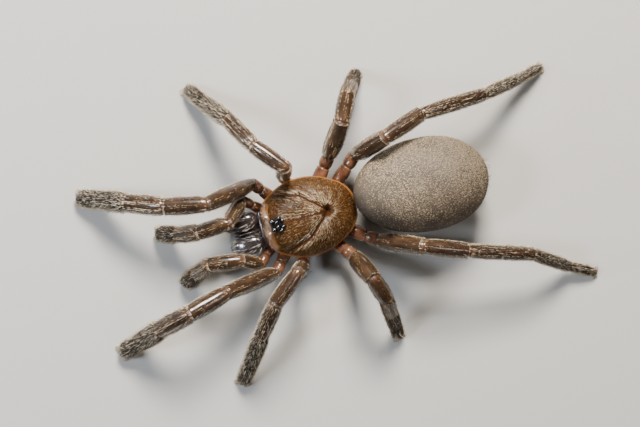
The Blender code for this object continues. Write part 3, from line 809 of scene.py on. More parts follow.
for side_name, side in SIDES.items():
    jaw, fang = f"chelicera_{side_name}", f"fang_{side_name}"
    make_piece(jaw + "_skin", *ball(60, 80, jaw_place(side)), JAW_PAINT, "jaws", (jaw,))
    curl = hook(FANG_HINGE * (side, 1, 1), FANG_PITCHES, FANG_LENGTH, FANG_WIDTH / 2)
    make_piece(fang + "_hook", *curl, FANG_GLOSS, "fangs", (fang,))
for index, (centre, half) in enumerate(FOLDS):
    make_piece(f"jaw_fold_{index + 1}", *ball(16, 40, set_in(UPRIGHT, centre, half)), FOLD_PAINT, "jaws")
print("jaws, fangs and the folds of soft skin between them made")

# %% [markdown]
# ## The limbs
# A leg is seven hard tubes, coxa to tarsus, hinged by pale folds of soft skin. One swept tube would be
# quick, but it would bend like rubber. Here each article is its own closed loft with a
# narrow neck and a lipped end that leans toward the next article, as the real oblique hinges do, and a
# soft ball fills each hinge. All of a limb is one mesh.

# %% Joints of a limb
def aimed(side, heading, pitch=0.0):
    """The direction of a heading and a pitch in degrees, on one side of the body."""
    turn, rise = math.radians(heading), math.radians(pitch)
    return np.array((side * math.sin(turn) * math.cos(rise), -math.cos(turn) * math.cos(rise), math.sin(rise)))


def across_of(axis):
    """The level direction across an axis, and the one above it."""
    level = unit(np.cross(UP, axis))
    return level, np.cross(axis, level)


def limb_joints(name):
    """The hinge points of a limb, from its root to its tip."""
    kind, side_name = name.rsplit("_", 1)
    side = SIDES[side_name]
    hip, headings, pitches = POSES[name]
    hip = np.array(hip) * (side, 1, 1)
    angle, height = ROOTS[kind]
    root = aimed(side, angle) * CORE_HALF + (0.0, CORE_CENTRE[1], height)
    root = root + unit((hip - root) * (1, 1, 0)) * (GAP + DOME_REACH * PROFILES["coxa"][0] * HIP_WIDTH[kind] / 2)
    joints = [root, root + (hip - root) * COXA_SHARE, hip]
    for heading, pitch, length in zip(headings, pitches, LENGTHS[kind]):
        joints.append(joints[-1] + aimed(side, heading, pitch) * length)
    joints[-1][2] = TIP_HEIGHT
    return np.array(joints)


# %% Form of an article
COAT_DEPTH = {"coxa": 0.03, "trochanter": 0.03, "femur": 0.03, "patella": 0.03,
              "tibia": 0.06, "metatarsus": 0.11, "tarsus": 0.11}
BOW = {"femur": 0.018, "tibia": 0.008, "metatarsus": 0.010}
LEAN, LEAN_LIMIT, LEAN_REACH = 0.75, 0.55, 0.7
TARSUS_ROUNDING = (0.82, 1.12)
# How much narrower an article is at its neck, over how many millimetres, and the same for the lip at its end
NECK, TARSUS_NECK = (0.12, 0.16), (0.08, 0.15)
LIP_RISE, LIP_PLACE, LIP_FALL, LIP_EDGE = 0.03, 0.1, 0.05, 0.06


def limb_articles(name):
    """Every article of a limb with its axes, width and the lean of its ends."""
    kind = name.rsplit("_", 1)[0]
    joints = limb_joints(name)
    names = ("coxa", "trochanter") + (PALP_ARTICLES if kind == "palp" else ARTICLES)
    widths = (HIP_WIDTH[kind],) * 2 + WIDTHS[kind]
    axes = unit(joints[1:] - joints[:-1])
    articles = []
    for index, part in enumerate(names):
        axis = axes[index]
        level, upper = across_of(axis)
        leans = [np.zeros(3), np.zeros(3)]
        for place, neighbour in enumerate((index - 1, index + 1)):
            if 0 <= neighbour < len(names):
                half = unit(axis + axes[neighbour])
                leans[place] = half / max(half @ axis, LEAN_LIMIT) * LEAN
        start, end = joints[index], joints[index + 1]
        articles.append(SimpleNamespace(
            limb=kind, kind=part, start=start, end=end, length=np.linalg.norm(end - start), width=widths[index],
            axis=axis, level=level, upper=upper, leans=leans, order=index))
    return articles


def article_radius(made, t):
    """The skin's half-width along an article: the solid's profile, a neck at its base and a lip at its end."""
    shares = PROFILES[made.kind]
    points = tuple(zip(np.linspace(0, 1, len(shares)), shares))
    radius = smooth_curve(points, t) * made.width / 2 - COAT_DEPTH[made.kind]
    left = (1 - t) * made.length
    narrower, over = TARSUS_NECK if made.kind == "tarsus" else NECK
    radius = radius * (1 - narrower * fade(t * made.length, over))
    if made.kind == "tarsus":
        return radius * np.sqrt(np.clip(1 - ramp(t, *TARSUS_ROUNDING) ** 2, 0.02, 1))
    return radius * (1 + LIP_RISE * fade(left - LIP_PLACE, LIP_PLACE) - LIP_FALL * fade(left, LIP_EDGE))


def round_axis(level, upper, around, radius, tall=1.0):
    """Offsets round an axis, `around` in radians, a quarter turn being the top."""
    return level * (np.cos(around) * radius)[..., None] + upper * (np.sin(around) * radius * tall)[..., None]


def article_point(made, t, around, scale=1.0):
    """Points of an article's skin, t along it."""
    offset = round_axis(made.level, made.upper, around, article_radius(made, t) * scale, TALL)
    bow = BOW.get(made.kind, 0.0) * made.length * 4 * t * (1 - t)
    centre = made.start + made.axis * (t * made.length)[..., None] + made.upper * bow[..., None]
    reach = made.width * LEAN_REACH
    near, far = (ramp(part * made.length, reach, 0.0) for part in (t, 1 - t))
    slide = -(offset @ made.leans[0]) * near - (offset @ made.leans[1]) * far
    return centre + offset + made.axis * slide[..., None]


def article_normal(made, t, around):
    """Outward normals of an article's skin."""
    step = 0.01
    along = article_point(made, t + step, around) - article_point(made, t - step, around)
    aside = article_point(made, t, around + step) - article_point(made, t, around - step)
    return unit(np.cross(aside, along))


# Where the two bare stripes run, as degrees off the top, and their half-width; some limbs are hairier there
BARE_STRIPES = {"femur": (27, 17), "patella": (25, 16), "tibia": (23, 12)}
BARENESS = {"palp": 0.3, "leg_3": 0.45}


def bare_stripe(made, t, around):
    """How bare the skin is: two smooth stripes run along the top of the femur, patella and tibia."""
    if made.kind not in BARE_STRIPES:
        return np.zeros(np.shape(t))
    off_top = np.abs((around - np.pi / 2 + np.pi) % (2 * np.pi) - np.pi)
    middle, half = BARE_STRIPES[made.kind]
    stripe = fade(off_top - math.radians(middle), math.radians(half)) ** 2
    return BARENESS.get(made.limb, 1.0) * stripe * ramp(t, 0.0, 0.1) * ramp(t, 1.0, 0.92)


# %% Skin of a limb
ARTICLE_SIDES = 36
BASE_REDNESS = {"coxa": 0.3, "trochanter": 0.3, "femur": 0.3, "patella": 0.6, "tibia": 0.35,
                "metatarsus": 0.2, "tarsus": 0.0}
BASE_REACH, LIP_REACH, LIP_PALENESS = 0.5, 0.05, 0.4
HINGE_FULLNESS = 0.9
# Where an article's rings stand along it, and their scales: it closes at both ends, and a tarsus ends in a dome
LOFT_PLACES = np.concatenate([(0.0, 0.0, 0.006, 0.014, 0.03), np.linspace(0.055, 0.93, 20),
                              (0.955, 0.975, 0.99, 1.0, 1.0, 0.99)])
LOFT_SCALES = np.concatenate([(0.45, 0.8, 0.92, 0.98), np.ones(24), (0.97, 0.86, 0.6)])
DOME_PLACES = np.concatenate([LOFT_PLACES[:-6], (0.96, 0.99, 1.02, 1.05, 1.075, 1.1)])
DOME_SCALES = np.concatenate([LOFT_SCALES[:-3], np.ones(3)])


def skin_numbers(made, count, **numbers):
    """The numbers of an article's skin: nothing where they aren't given, and its order from hip to foot."""
    numbers["order"] = made.order / 6
    return {key: np.broadcast_to(numbers.get(key, 0.0), count) for key in ("bare", "base", "lip", "soft", "order")}


def article_shape(made):
    """The closed loft of one article."""
    foot = made.kind == "tarsus"
    places, scales = (DOME_PLACES, DOME_SCALES) if foot else (LOFT_PLACES, LOFT_SCALES)
    t, turn = np.meshgrid(places, circle(ARTICLE_SIDES), indexing="ij")
    points, faces = closed_loft(article_point(made, t, turn, scales[:, None]))
    past, left = t * made.length, (1 - t) * made.length
    return points, faces, skin_numbers(
        made, len(points), bare=with_tips(bare_stripe(made, t, turn)),
        base=with_tips(BASE_REDNESS[made.kind] * fade(past, BASE_REACH)),
        lip=with_tips(LIP_PALENESS * fade(left, LIP_REACH) * (not foot)))


def hinge_shape(before, after):
    """The soft ball in a hinge, a little narrower than both articles."""
    radius = HINGE_FULLNESS * min(article_radius(before, 0.97), article_radius(after, 0.06) * 1.05)
    axis = unit(before.axis + after.axis)
    level, upper = across_of(axis)
    mover = set_in(np.array((level, axis, upper)), before.end, (radius, radius, radius * TALL))
    points, faces = ball(14, 24, mover)
    return points, faces, skin_numbers(before, len(points), soft=1.0)


SKIN_DARK, SKIN_BROWN = (0.018, 0.009, 0.004), (0.052, 0.026, 0.011)
HIP_DARK, HIP_RED = (0.060, 0.021, 0.010), (0.19, 0.075, 0.036)
STRIPE_DARK, STRIPE_BROWN = (0.026, 0.013, 0.008), (0.062, 0.034, 0.020)
FOOT_BLACK, BASE_RED = (0.014, 0.009, 0.007), (0.105, 0.043, 0.017)
LIP_PALE, HINGE_PALE = (0.28, 0.20, 0.14), (0.10, 0.055, 0.036)


def limb_paint():
    """Varnished brown cuticle: rosier at the hips, redder at the bases, darker toward the foot, with pale lips."""
    paint = new_paint("limb_cuticle")
    cloud, order = noise(paint, 800.0), number(paint, "order")
    hip = blend(scaled(cloud, 0.4, 0.6), HIP_DARK, HIP_RED)
    stripe = blend(scaled(noise(paint, 1300.0, 3.0), 0.4, 0.65), STRIPE_DARK, STRIPE_BROWN)
    colour = layered(
        SKIN_DARK, (scaled(cloud, 0.35, 0.65), SKIN_BROWN), (scaled(order, 0.28, 0.12), hip),
        (scaled(order, 0.6, 0.8), FOOT_BLACK), (number(paint, "bare"), stripe), (number(paint, "base"), BASE_RED),
        (number(paint, "lip"), LIP_PALE), (number(paint, "soft"), HINGE_PALE))
    gloss = scaled(order, 0.6, 0.8, 0.75, 0.08)
    return finish(paint, {"Base Color": colour, "Roughness": 0.3, "Specular IOR Level": 0.2, "Coat Weight": gloss,
                          "Coat Roughness": 0.08}, noise(paint, 5000.0, 3.0), 0.25, 0.02)


LIMB_PAINT = limb_paint()
KNEE_ROOM = 0.2
CEILING = solid_box[1][2] / MM + KNEE_ROOM


def on_floor(points):
    """Points kept between the floor and a height just over the solids' knees."""
    return np.stack([points[..., 0], points[..., 1], np.clip(points[..., 2], 0.0, CEILING)], -1)


def make_limb(name):
    """One limb's skin as a joined mesh."""
    articles = limb_articles(name)
    shapes = [article_shape(made) for made in articles]
    shapes += [hinge_shape(before, after) for before, after in zip(articles[:-1], articles[1:])]
    points, faces, numbers = join_shapes(shapes)
    make_piece(name + "_skin", on_floor(points), faces, LIMB_PAINT, "legs", (name,), numbers)


for limb in POSES:
    make_limb(limb)
print("limbs:", len(POSES), "with", len(LOFT_PLACES) * ARTICLE_SIDES, "points an article")

# %% [markdown]
# ## The claws
# Two small dark claws peep out between the tufts at the tip of each leg. They are hooks like
# the fangs, only turned to the leg's own heading.

# %% Make the claws
CLAW_LENGTH, CLAW_WIDTH, CLAW_APART = 0.42, 0.075, 0.13
CLAW_PITCHES = (25.0, -75.0)
CLAW_PLACE = 1.06


def turn_to(points, heading):
    """Turns points round the upright axis so that their +Y lies along a level heading."""
    ahead = unit(heading * (1, 1, 0))
    return points[:, :1] * np.array((ahead[1], -ahead[0], 0)) + points[:, 1:2] * ahead + points[:, 2:] * UP


def make_claws(name):
    """The pair of claws of one limb; a palp has a single one."""
    foot = limb_articles(name)[-1]
    base = article_point(foot, CLAW_PLACE, np.pi / 2, 0.2)
    shapes = []
    for side in ((0,) if name.startswith("palp") else (-1, 1)):
        claw, faces = hook(np.zeros(3), CLAW_PITCHES, CLAW_LENGTH, CLAW_WIDTH / 2, 0.12, 10, 8)
        shapes.append((on_floor(turn_to(claw + (side * CLAW_APART, 0, 0), foot.axis) + base), faces, {}))
    make_piece(name + "_claws", *join_shapes(shapes)[:2], FANG_GLOSS, "fangs")


for limb in POSES:
    make_claws(limb)
print("claws made")

# %% [markdown]
# ## The spinnerets
# Two jointed spinnerets show below the rear of the abdomen. They are short limbs of three articles,
# so the same loft with a stepped profile serves.

# %% Make the spinnerets
SPINNERET_COAT_DEPTH = 0.02


def spinneret_frame(side_name):
    """The base, axis, level and upper directions of a spinneret."""
    side = SIDES[side_name]
    axis = aimed(side, 180 - SPINNERET_TURN[side_name], SPINNERET_RISE)
    return SPINNERET_BASE + (side * SPINNERET_APART, 0, 0), axis, *across_of(axis)


def spinneret_point(side_name, t, around):
    """Points of a spinneret's skin: three articles, each with a neck and a lip, and a rounded end."""
    base, axis, level, upper = spinneret_frame(side_name)
    joints = np.array(SPINNERET_JOINTS)
    index = np.clip(np.searchsorted(joints, t, side="right") - 1, 0, 2)
    local = (t - joints[index]) / (joints[index + 1] - joints[index])
    radius = SPINNERET_WIDTH / 2 * (1 - SPINNERET_TAPER * index) * (1 - 0.12 * local)
    radius = radius * (1 - 0.3 * fade(local, 0.1) - 0.12 * fade(1 - local, 0.07))
    radius = radius * np.sqrt(np.clip(1 - ramp(t, 0.86, 1.0) ** 3, 0.0, 1)) - SPINNERET_COAT_DEPTH
    return base + axis * (t * SPINNERET_LENGTH)[..., None] + round_axis(level, upper, around, radius)


for side_name in SIDES:
    t, turn = np.meshgrid(np.linspace(0.01, 0.985, 48), circle(28), indexing="ij")
    make_piece(f"spinneret_{side_name}_skin", *closed_loft(spinneret_point(side_name, t, turn)), ABDOMEN_PAINT,
               "abdomen", (f"spinneret_{side_name}",))
print("spinnerets made")

# %% [markdown]
# ## The coat of the limbs
# Up close, a leg is mostly hair. Flat hairs run toward the foot in locks beside the bare stripes, longer pale
# ones fringe both sides, and from the metatarsus on they crowd into a brush. The third legs also end in
# a few long pale bristles. Scattering them by hand or by weight map would do, but a few densities for each
# article, and a draw of random places that thins out on the stripes, give the same order and stay easy to tune.

# %% Locks of hair
LOCK_WIDTH = 0.19
LOCK_LENGTH = 1.0
LANES, ROWS = 61, 53
LOCK_TONES = np.random.default_rng(77).uniform(0, 1, (LANES, ROWS))


def lock_of(made, t, around, length):
    """Gathers hairs in lengthwise locks: each hair's lock tone, and its tilt toward the middle of its lock."""
    lanes = around / (2 * np.pi) * max(round(made.width * np.pi / LOCK_WIDTH), 8)
    lane = np.floor(lanes).astype(int)
    row = np.floor(t * made.length / LOCK_LENGTH + LOCK_TONES[lane % LANES, 0]).astype(int)
    tone = LOCK_TONES[lane % LANES, (row * 7 + made.order * 11) % ROWS]
    return tone, (lanes - lane - 0.5) * LOCK_WIDTH / length


# %% Hair of one article
LIMB_SEED = 4100
# For each article: hairs per square millimetre, length, width, rise in degrees, and least and most tone
DOWN = {
    "coxa": (6, 0.34, 0.036, 20, 0.4, 1.0), "trochanter": (5, 0.30, 0.036, 22, 0.4, 1.0),
    "femur": (115, 0.40, 0.044, 8, 0.0, 0.9), "patella": (115, 0.38, 0.044, 8, 0.1, 1.0),
    "tibia": (130, 0.40, 0.048, 11, 0.05, 1.0), "metatarsus": (170, 0.42, 0.056, 16, 0.0, 0.3),
    "tarsus": (170, 0.38, 0.056, 18, 0.0, 0.25)}
# The share of pale hairs on each article, and how pale each limb is as a whole
PALE_SHARE = {"coxa": 0.3, "trochanter": 0.3, "femur": 0.12, "patella": 0.34, "tibia": 0.38,
              "metatarsus": 0.30, "tarsus": 0.27}
PALENESS = {"leg_1": 1.1, "leg_2": 1.1, "leg_3": 0.15, "leg_4": 1.1, "palp": 0.5}
# How much of a hair's tone comes from its lock, up to the tibia and beyond it, and the contrast of the locks
STREAKY, STREAKY_FOOT, LOCK_CONTRAST = 0.85, 0.35, (0.32, 0.75)
FLANK_LIGHTNESS = 0.12
# How much of the down the bare stripes take, and where hairs grow along an article, or along a tarsus
STRIPE_THINNING = 0.97
DOWN_FROM, DOWN_TO, DOWN_TO_TIP = 0.02, 0.985, 1.02
FRINGE_FROM, FRINGE_TO, FRINGE_TO_TIP = 0.04, 0.985, 0.885
FRINGE_DROP = 10
# For each article: hairs per millimetre of each side, their spread in degrees, length, width, rise and settle
FRINGE = {
    "femur": (50, 9, 0.34, 0.042, 30, 18), "patella": (60, 9, 0.34, 0.042, 30, 18),
    "tibia": (70, 12, 0.38, 0.046, 38, 22), "metatarsus": (90, 12, 0.42, 0.052, 48, 26),
    "tarsus": (90, 12, 0.40, 0.052, 50, 26)}
# Bristles per millimetre, then their length, width, rise and settle, and those of the long ones at the tip
BRISTLES = {"femur": 1.2, "patella": 1.2, "tibia": 3.0, "metatarsus": 4.5, "tarsus": 4.5}
BRISTLE = (0.72, 0.04, 50, 24)
TIP_BRISTLES = 16
TIP_BRISTLE = (0.85, 0.035, 40, 14)
# How far the length, width, rise and settle of each kind of hair vary
DOWN_SPREADS, FRINGE_SPREADS = (0.25, 0.25, 0.5, 0.0), (0.3, 0.2, 0.3, 0.0)
BRISTLE_SPREADS, TIP_SPREADS = (0.3, 0.0, 0.2, 0.0), (0.2, 0.0, 0.3, 0.0)


def limb_hairs(made, articles, t, around, tilt, sizes, tone, pale, halves=2):
    """Hairs rooted at places of one article, tilted aside from its axis."""
    normals = article_normal(made, t, around)
    aside = np.cross(normals, made.axis)
    lies = made.axis * np.cos(tilt)[:, None] + aside * np.sin(tilt)[:, None]
    chart = np.stack([(made.order + np.clip(t, 0, 1)) / articles, (around % (2 * np.pi)) / (2 * np.pi)], -1)
    return hair_shapes(article_point(made, t, around), normals, lies, *sizes, tone, pale, chart, halves)


def article_down(made, rng, articles):
    """The flat hairs of one article, in locks of lighter and darker ones, thinned out on the bare stripes."""
    kind = made.kind
    density, length, width, rise, least, most = DOWN[kind]
    tries = int(density * made.length * made.width * np.pi)
    t = rng.uniform(DOWN_FROM, DOWN_TO_TIP if kind == "tarsus" else DOWN_TO, tries)
    around = rng.uniform(0, 2 * np.pi, tries)
    kept = rng.uniform(0, 1, tries) > STRIPE_THINNING * np.clip(bare_stripe(made, t, around) * 2.0, 0, 1)
    t, around = t[kept], around[kept]
    count = len(t)
    lock, toward = lock_of(made, t, around, length)
    streaky = STREAKY if made.order < 5 else STREAKY_FOOT
    mixed = ramp(streaky * lock + (1 - streaky) * rng.uniform(0, 1, count), *LOCK_CONTRAST)
    tone = np.clip(least + (most - least) * mixed + FLANK_LIGHTNESS * np.cos(around) ** 4, 0.0, 1.0)
    chance = PALE_SHARE[kind] * PALENESS[made.limb] * (1 + 2 * streaky * (lock - 0.5))
    pale = np.where(rng.uniform(0, 1, count) < chance, rng.uniform(0.6, 1.0, count), 0.0)
    return limb_hairs(made, articles, t, around, 0.8 * toward + rng.normal(0, 0.07, count),
                      varied(rng, count, (length, width, rise, 0.0), DOWN_SPREADS), tone, pale, 1)


def article_fringe(made, rng, articles):
    """The longer hairs along both sides of one article."""
    density, spread, *sizes = FRINGE[made.kind]
    paleness = min(PALENESS[made.limb], 1.0)
    count = int(density * made.length) * 2
    t = rng.uniform(FRINGE_FROM, FRINGE_TO_TIP if made.kind == "tarsus" else FRINGE_TO, count)
    left = np.arange(count) % 2
    around = np.where(left, np.pi, 0) + np.where(left, 1, -1) * np.radians(rng.normal(FRINGE_DROP, spread, count))
    return limb_hairs(made, articles, t, around, rng.normal(0.0, 0.15, count),
                      varied(rng, count, sizes, FRINGE_SPREADS), rng.uniform(0.2, 0.6 + 0.4 * paleness, count),
                      rng.uniform(0.0, paleness, count))


def article_coat(made, rng, articles):
    """The flat hairs, the side fringes and the bristles of one article."""
    kind = made.kind
    lots = [article_down(made, rng, articles)]
    if kind in FRINGE:
        lots.append(article_fringe(made, rng, articles))
    if kind in BRISTLES:
        count = int(BRISTLES[kind] * made.length)
        t, around = rng.uniform(0.15, 0.95, count), rng.uniform(0, 2 * np.pi, count)
        lots.append(limb_hairs(made, articles, t, around, rng.normal(0, 0.1, count),
                               varied(rng, count, BRISTLE, BRISTLE_SPREADS), rng.uniform(0.0, 0.25, count),
                               rng.uniform(0.0, 0.3, count)))
    if kind == "tarsus" and made.limb == "leg_3":
        t, around = rng.uniform(0.3, 1.0, TIP_BRISTLES), rng.uniform(0, 2 * np.pi, TIP_BRISTLES)
        lots.append(limb_hairs(made, articles, t, around, rng.normal(0, 0.3, TIP_BRISTLES),
                               varied(rng, TIP_BRISTLES, TIP_BRISTLE, TIP_SPREADS), 1.0, 1.0))
    return lots


# %% Tufts at the tip of a limb
TUFT_HAIRS = 260
TUFT_RADIUS = 0.159
TUFT_OFFSET = 0.264
TUFT_SPREAD = 12.0
TUFT_HEIGHT = 0.12
TUFT_LENGTH, TUFT_WIDTH, TUFT_RISES, TUFT_SETTLE = 0.40, 0.03, (15, 50), 30.0


def claw_tufts(made, rng, articles):
    """The pair of dense pale brushes that a limb stands on."""
    lots = []
    ahead = unit(made.axis * (1, 1, 0))
    aside = np.cross(UP, ahead)
    for side in (-1, 1):
        spread = math.radians(TUFT_SPREAD) * side
        reach = ahead * math.cos(spread) + aside * math.sin(spread)
        centre = made.end * (1, 1, 0) + UP * TUFT_HEIGHT + aside * side * TUFT_OFFSET * made.width
        turn, lift = rng.uniform(-1.9, 1.9, TUFT_HAIRS), rng.uniform(-0.1, 1.2, TUFT_HAIRS)
        flat = reach * np.cos(turn)[:, None] + np.cross(UP, reach) * np.sin(turn)[:, None]
        normals = unit(flat * np.cos(lift)[:, None] + UP * np.sin(lift)[:, None])
        chart = np.stack([np.full(TUFT_HAIRS, (made.order + 0.97) / articles),
                          0.5 + 0.2 * side + 0.08 * turn], -1)
        lots.append(hair_shapes(
            centre + ahead * 0.04 + normals * TUFT_RADIUS, normals, reach + flat * 0.6 - UP * 0.25,
            *varied(rng, TUFT_HAIRS, (TUFT_LENGTH, TUFT_WIDTH), (0.2, 0.0)), rng.uniform(*TUFT_RISES, TUFT_HAIRS),
            TUFT_SETTLE, rng.uniform(0.5, 1.0, TUFT_HAIRS), rng.uniform(0.2, 0.9, TUFT_HAIRS), chart))
    return lots


# %% Make the coats of the limbs
def make_limb_coat(name, seed):
    """One limb's coat as a joined mesh."""
    rng = np.random.default_rng(seed)
    articles = limb_articles(name)
    lots = []
    for made in articles:
        lots += article_coat(made, rng, len(articles))
    lots += claw_tufts(articles[-1], rng, len(articles))
    make_coat(name + "_coat", [(on_floor(lot[0]), *lot[1:]) for lot in lots], LEG_HAIR, "legs")


for index, limb in enumerate(POSES):
    make_limb_coat(limb, LIMB_SEED + index)

# %% [markdown]
# ## The velvet of the abdomen
# The abdomen's hairs are so short and even that they read as velvet with a salt-and-pepper speckle.
# Bump alone would look like plastic at the outline, so each half has forty-two thousand short hairs, light
# and dark ones mixed, all lying toward the rear. A grain of a tenth of a millimetre decides which is which.
# Fewer are light low down, in front and on the left, which is painted shade, and more are light on the right,
# which is a painted sheen.

# %% Make the abdomen's pile
PILE_SEED = 7300
PILE_HAIRS = 42000
# The length, width, rise and settle of the pile's hairs and of the bristles at the rear, and how far they vary
PILE, PILE_SPREADS = (0.175, 0.060, 22.0, 0.0), (0.25, 0.2, 0.5, 0.0)
REAR_BRISTLE, REAR_SPREADS = (0.8, 0.035, 42, 20), (0.3, 0.0, 0.2, 0.0)
REAR_BRISTLES = 110
LIGHT_SHARE, LIGHT_TONES = 0.62, (0.8, 1.0)
GRAIN_SIZE = 0.10
GRAIN = np.random.default_rng(19).uniform(0, 1, (97, 89))


def pile_lot(rng, places, sizes, tone, pale, halves):
    """Hairs rooted at places of the abdomen, lying toward the rear."""
    rear = np.array((0.0, 1.0, -0.12)) @ ABDOMEN_AXES + rng.normal(0, 0.2, places.shape)
    chart = np.stack([np.arctan2(places[:, 2], places[:, 0]) / (2 * np.pi) + 0.5,
                      np.arccos(np.clip(-places[:, 1], -1, 1)) / np.pi], -1)
    return hair_shapes(abdomen_point(places), unit(places / ABDOMEN_SIZE @ ABDOMEN_AXES), rear, *sizes, tone, pale,
                       chart, halves)


def even_ball(rng, count):
    """Random unit points, spread evenly over the egg by area."""
    points = unit(rng.normal(0, 1, (count * 3, 3)))
    area = np.linalg.norm(points / ABDOMEN_SIZE, axis=1)
    return points[rng.uniform(0, area.max(), len(points)) < area][:count]


def pile_tones(rng, places):
    """Each hair's tone: light or dark by a fine grain and broad waves, with painted shade low down, in front and on
    the left, and a painted sheen on the right.
    """
    x, y, z = places.T
    # Broad waves in how many hairs are light: soft mottling, partly a painted sheen.
    waves = np.sin(3.1 * x + 2.3 * y + 0.8) + np.sin(2.2 * x - 4.1 * y + 2.0) * np.cos(3.3 * z)
    cloud = 0.5 + 0.25 * waves
    # Painted shade: fewer light hairs low down, in front and on the left; painted sheen: more light ones on the
    # right.
    shade = ramp(z + 0.3 * ramp(-x, 0.0, 0.6), 0.05, 0.65) * (1 - 0.6 * ramp(-y, 0.4, 0.95))
    shade = shade * (1 - 0.4 * ramp(x, 0.0, 0.8)) * (1 + 0.6 * ramp(-x, 0.05, 0.6))
    cell = np.floor(abdomen_point(places) / GRAIN_SIZE).astype(int)
    grain = GRAIN[(cell[:, 0] + 3 * cell[:, 2]) % len(GRAIN), cell[:, 1] % len(GRAIN[0])]
    draw = 0.5 * grain + 0.5 * rng.uniform(0, 1, len(places))
    light = draw < LIGHT_SHARE * (0.7 + 0.6 * cloud) * (0.12 + 0.88 * shade)
    return np.where(light, rng.uniform(*LIGHT_TONES, len(places)), (1 - draw) * 0.8 * (0.04 + 0.96 * shade))


for part, low, high in (("front", -1.0, 0.0), ("rear", 0.0, 1.0)):
    rng = np.random.default_rng(PILE_SEED + (part == "rear"))
    places = even_ball(rng, PILE_HAIRS * 3)
    places = places[(places[:, 1] >= low) & (places[:, 1] < high)][:PILE_HAIRS]
    tones = pile_tones(rng, places)
    lots = [pile_lot(rng, places, varied(rng, len(places), PILE, PILE_SPREADS), tones, 0.0, 1)]
    if part == "rear":
        ends = even_ball(rng, 4000)
        ends = ends[(ends[:, 1] > 0.86) & (ends[:, 2] > -0.5)][:REAR_BRISTLES]
        count = len(ends)
        lots.append(pile_lot(rng, ends, varied(rng, count, REAR_BRISTLE, REAR_SPREADS),
                             rng.uniform(0.0, 0.5, count), rng.uniform(0, 0.3, count), 2))
    make_coat(f"abdomen_{part}_pile", lots, ABDOMEN_HAIR, "abdomen")

# %% [markdown]
# ## Down on the carapace and jaws
# Fine cream hairs radiate from the fovea and lie flat on the shield in streaks, thickest along the V of the head,
# while the jaws carry fine dark hairs in rows that point forward, with a bolder pale one here and there. Both are
# drawn from the same forms as the skins, so that every root touches its plate.

# %% Make the carapace down
CARAPACE_SEED = 5200
CARAPACE_HAIRS = 9500
CARAPACE_DOWN, CARAPACE_SPREADS = (0.4, 0.030, 8.0, 6.0), (0.3, 0.25, 0.5, 0.0)
SPOKES = 71
# Where no down grows: round the eyes, in front of them, in the dark of a groove, and in the pit
EYE_CLEARING, FRONT_CLEARING, GROOVE_CLEARING, PIT_CLEARING = 0.95, -3.5, 0.38, 0.4


def carapace_normal(x, y):
    """Outward normals of the carapace at plan points."""
    step = 0.02
    slope_x = (carapace_height(x + step, y) - carapace_height(x - step, y)) / (2 * step)
    slope_y = (carapace_height(x, y + step) - carapace_height(x, y - step)) / (2 * step)
    return unit(np.stack([-slope_x, -slope_y, np.ones(len(x))], -1))


def down_density(x, y):
    """How thick the down grows: along the V of the head and the midline, in a fan round the pit, in streaks, and
    thicker right of the midline, which is partly real down and partly a painted sheen.
    """
    vee = fade(path_distance(np.abs(x), y, CEPHALIC_PATH)[0] - 0.3, 0.22) * ramp(y, -3.4, -0.5)
    # Right of the midline the pale down grows far thicker than on the left: partly real down, partly a painted
    # sheen.
    midline = fade(np.abs(x) - 0.42, 0.3) * np.where(x < 0, 1.3, 0.35) * ramp(y, 1.6, 0.9) * ramp(y, -3.2, -2.6)
    from_pit, spoke = np.hypot(x, y - FOVEA[1]), np.arctan2(x, y - FOVEA[1])
    fan = fade(from_pit - 1.2, 0.9) * (0.35 + 0.65 * ramp(y, 2.2, 0.9))
    streak = 0.2 + 0.8 * (np.sin(spoke * SPOKES + 0.8 * np.sin(from_pit * 3)) > 0.15)
    bare = (np.hypot(x, y - EYE_MOUND_Y) < EYE_CLEARING) | (y < FRONT_CLEARING) | (from_pit < PIT_CLEARING)
    bare = bare | (carapace_grooves(x, y)[1] > GROOVE_CLEARING)
    return np.where(bare, 0.0, 0.06 + streak * np.maximum(0.7 * np.maximum(vee, midline), 0.45 * fan))


def carapace_down():
    """Fine hairs that lie away from the fovea."""
    rng = np.random.default_rng(CARAPACE_SEED)
    turn = rng.uniform(-np.pi, np.pi, CARAPACE_HAIRS * 5)
    share = np.sqrt(rng.uniform(0, 0.95, len(turn)))
    x, y = carapace_plan(share, turn)
    density = down_density(x, y)
    kept = np.flatnonzero(rng.uniform(0, 1, len(x)) < density)[:CARAPACE_HAIRS]
    x, y, share, density = x[kept], y[kept], share[kept], density[kept]
    count = len(x)
    away = np.stack([x, y - FOVEA[1], np.zeros(count)], -1)
    lies = unit(away) + rng.normal(0, 0.05, away.shape)
    return hair_shapes(np.stack([x, y, carapace_height(x, y)], -1), carapace_normal(x, y), lies,
                       *varied(rng, count, CARAPACE_DOWN, CARAPACE_SPREADS),
                       rng.uniform(0, 0.55, count) + 0.45 * (density > 0.3),
                       rng.uniform(0, 0.5, count) * (share < 0.7), np.stack([x / 10 + 0.5, y / 10 + 0.5], -1))


make_coat("carapace_down", [carapace_down()], CREAM_HAIR, "carapace")

# %% Make the jaw hairs
JAW_SEED = 6100
JAW_HAIRS = 2600
JAW_ROWS = 7
JAW_HAIR_SIZES, JAW_SPREADS = (0.42, 0.017, 12.0), (0.3, 0.25, 0.5)
JAW_SETTLE = 10.0
BOLD_SHARE, BOLD_LENGTH, BOLD_WIDTH = 0.07, 1.8, 2.6
DARK_TONES, BOLD_TONES = (0, 0.65), (0.75, 1)
BETWEEN_ROWS = 0.12


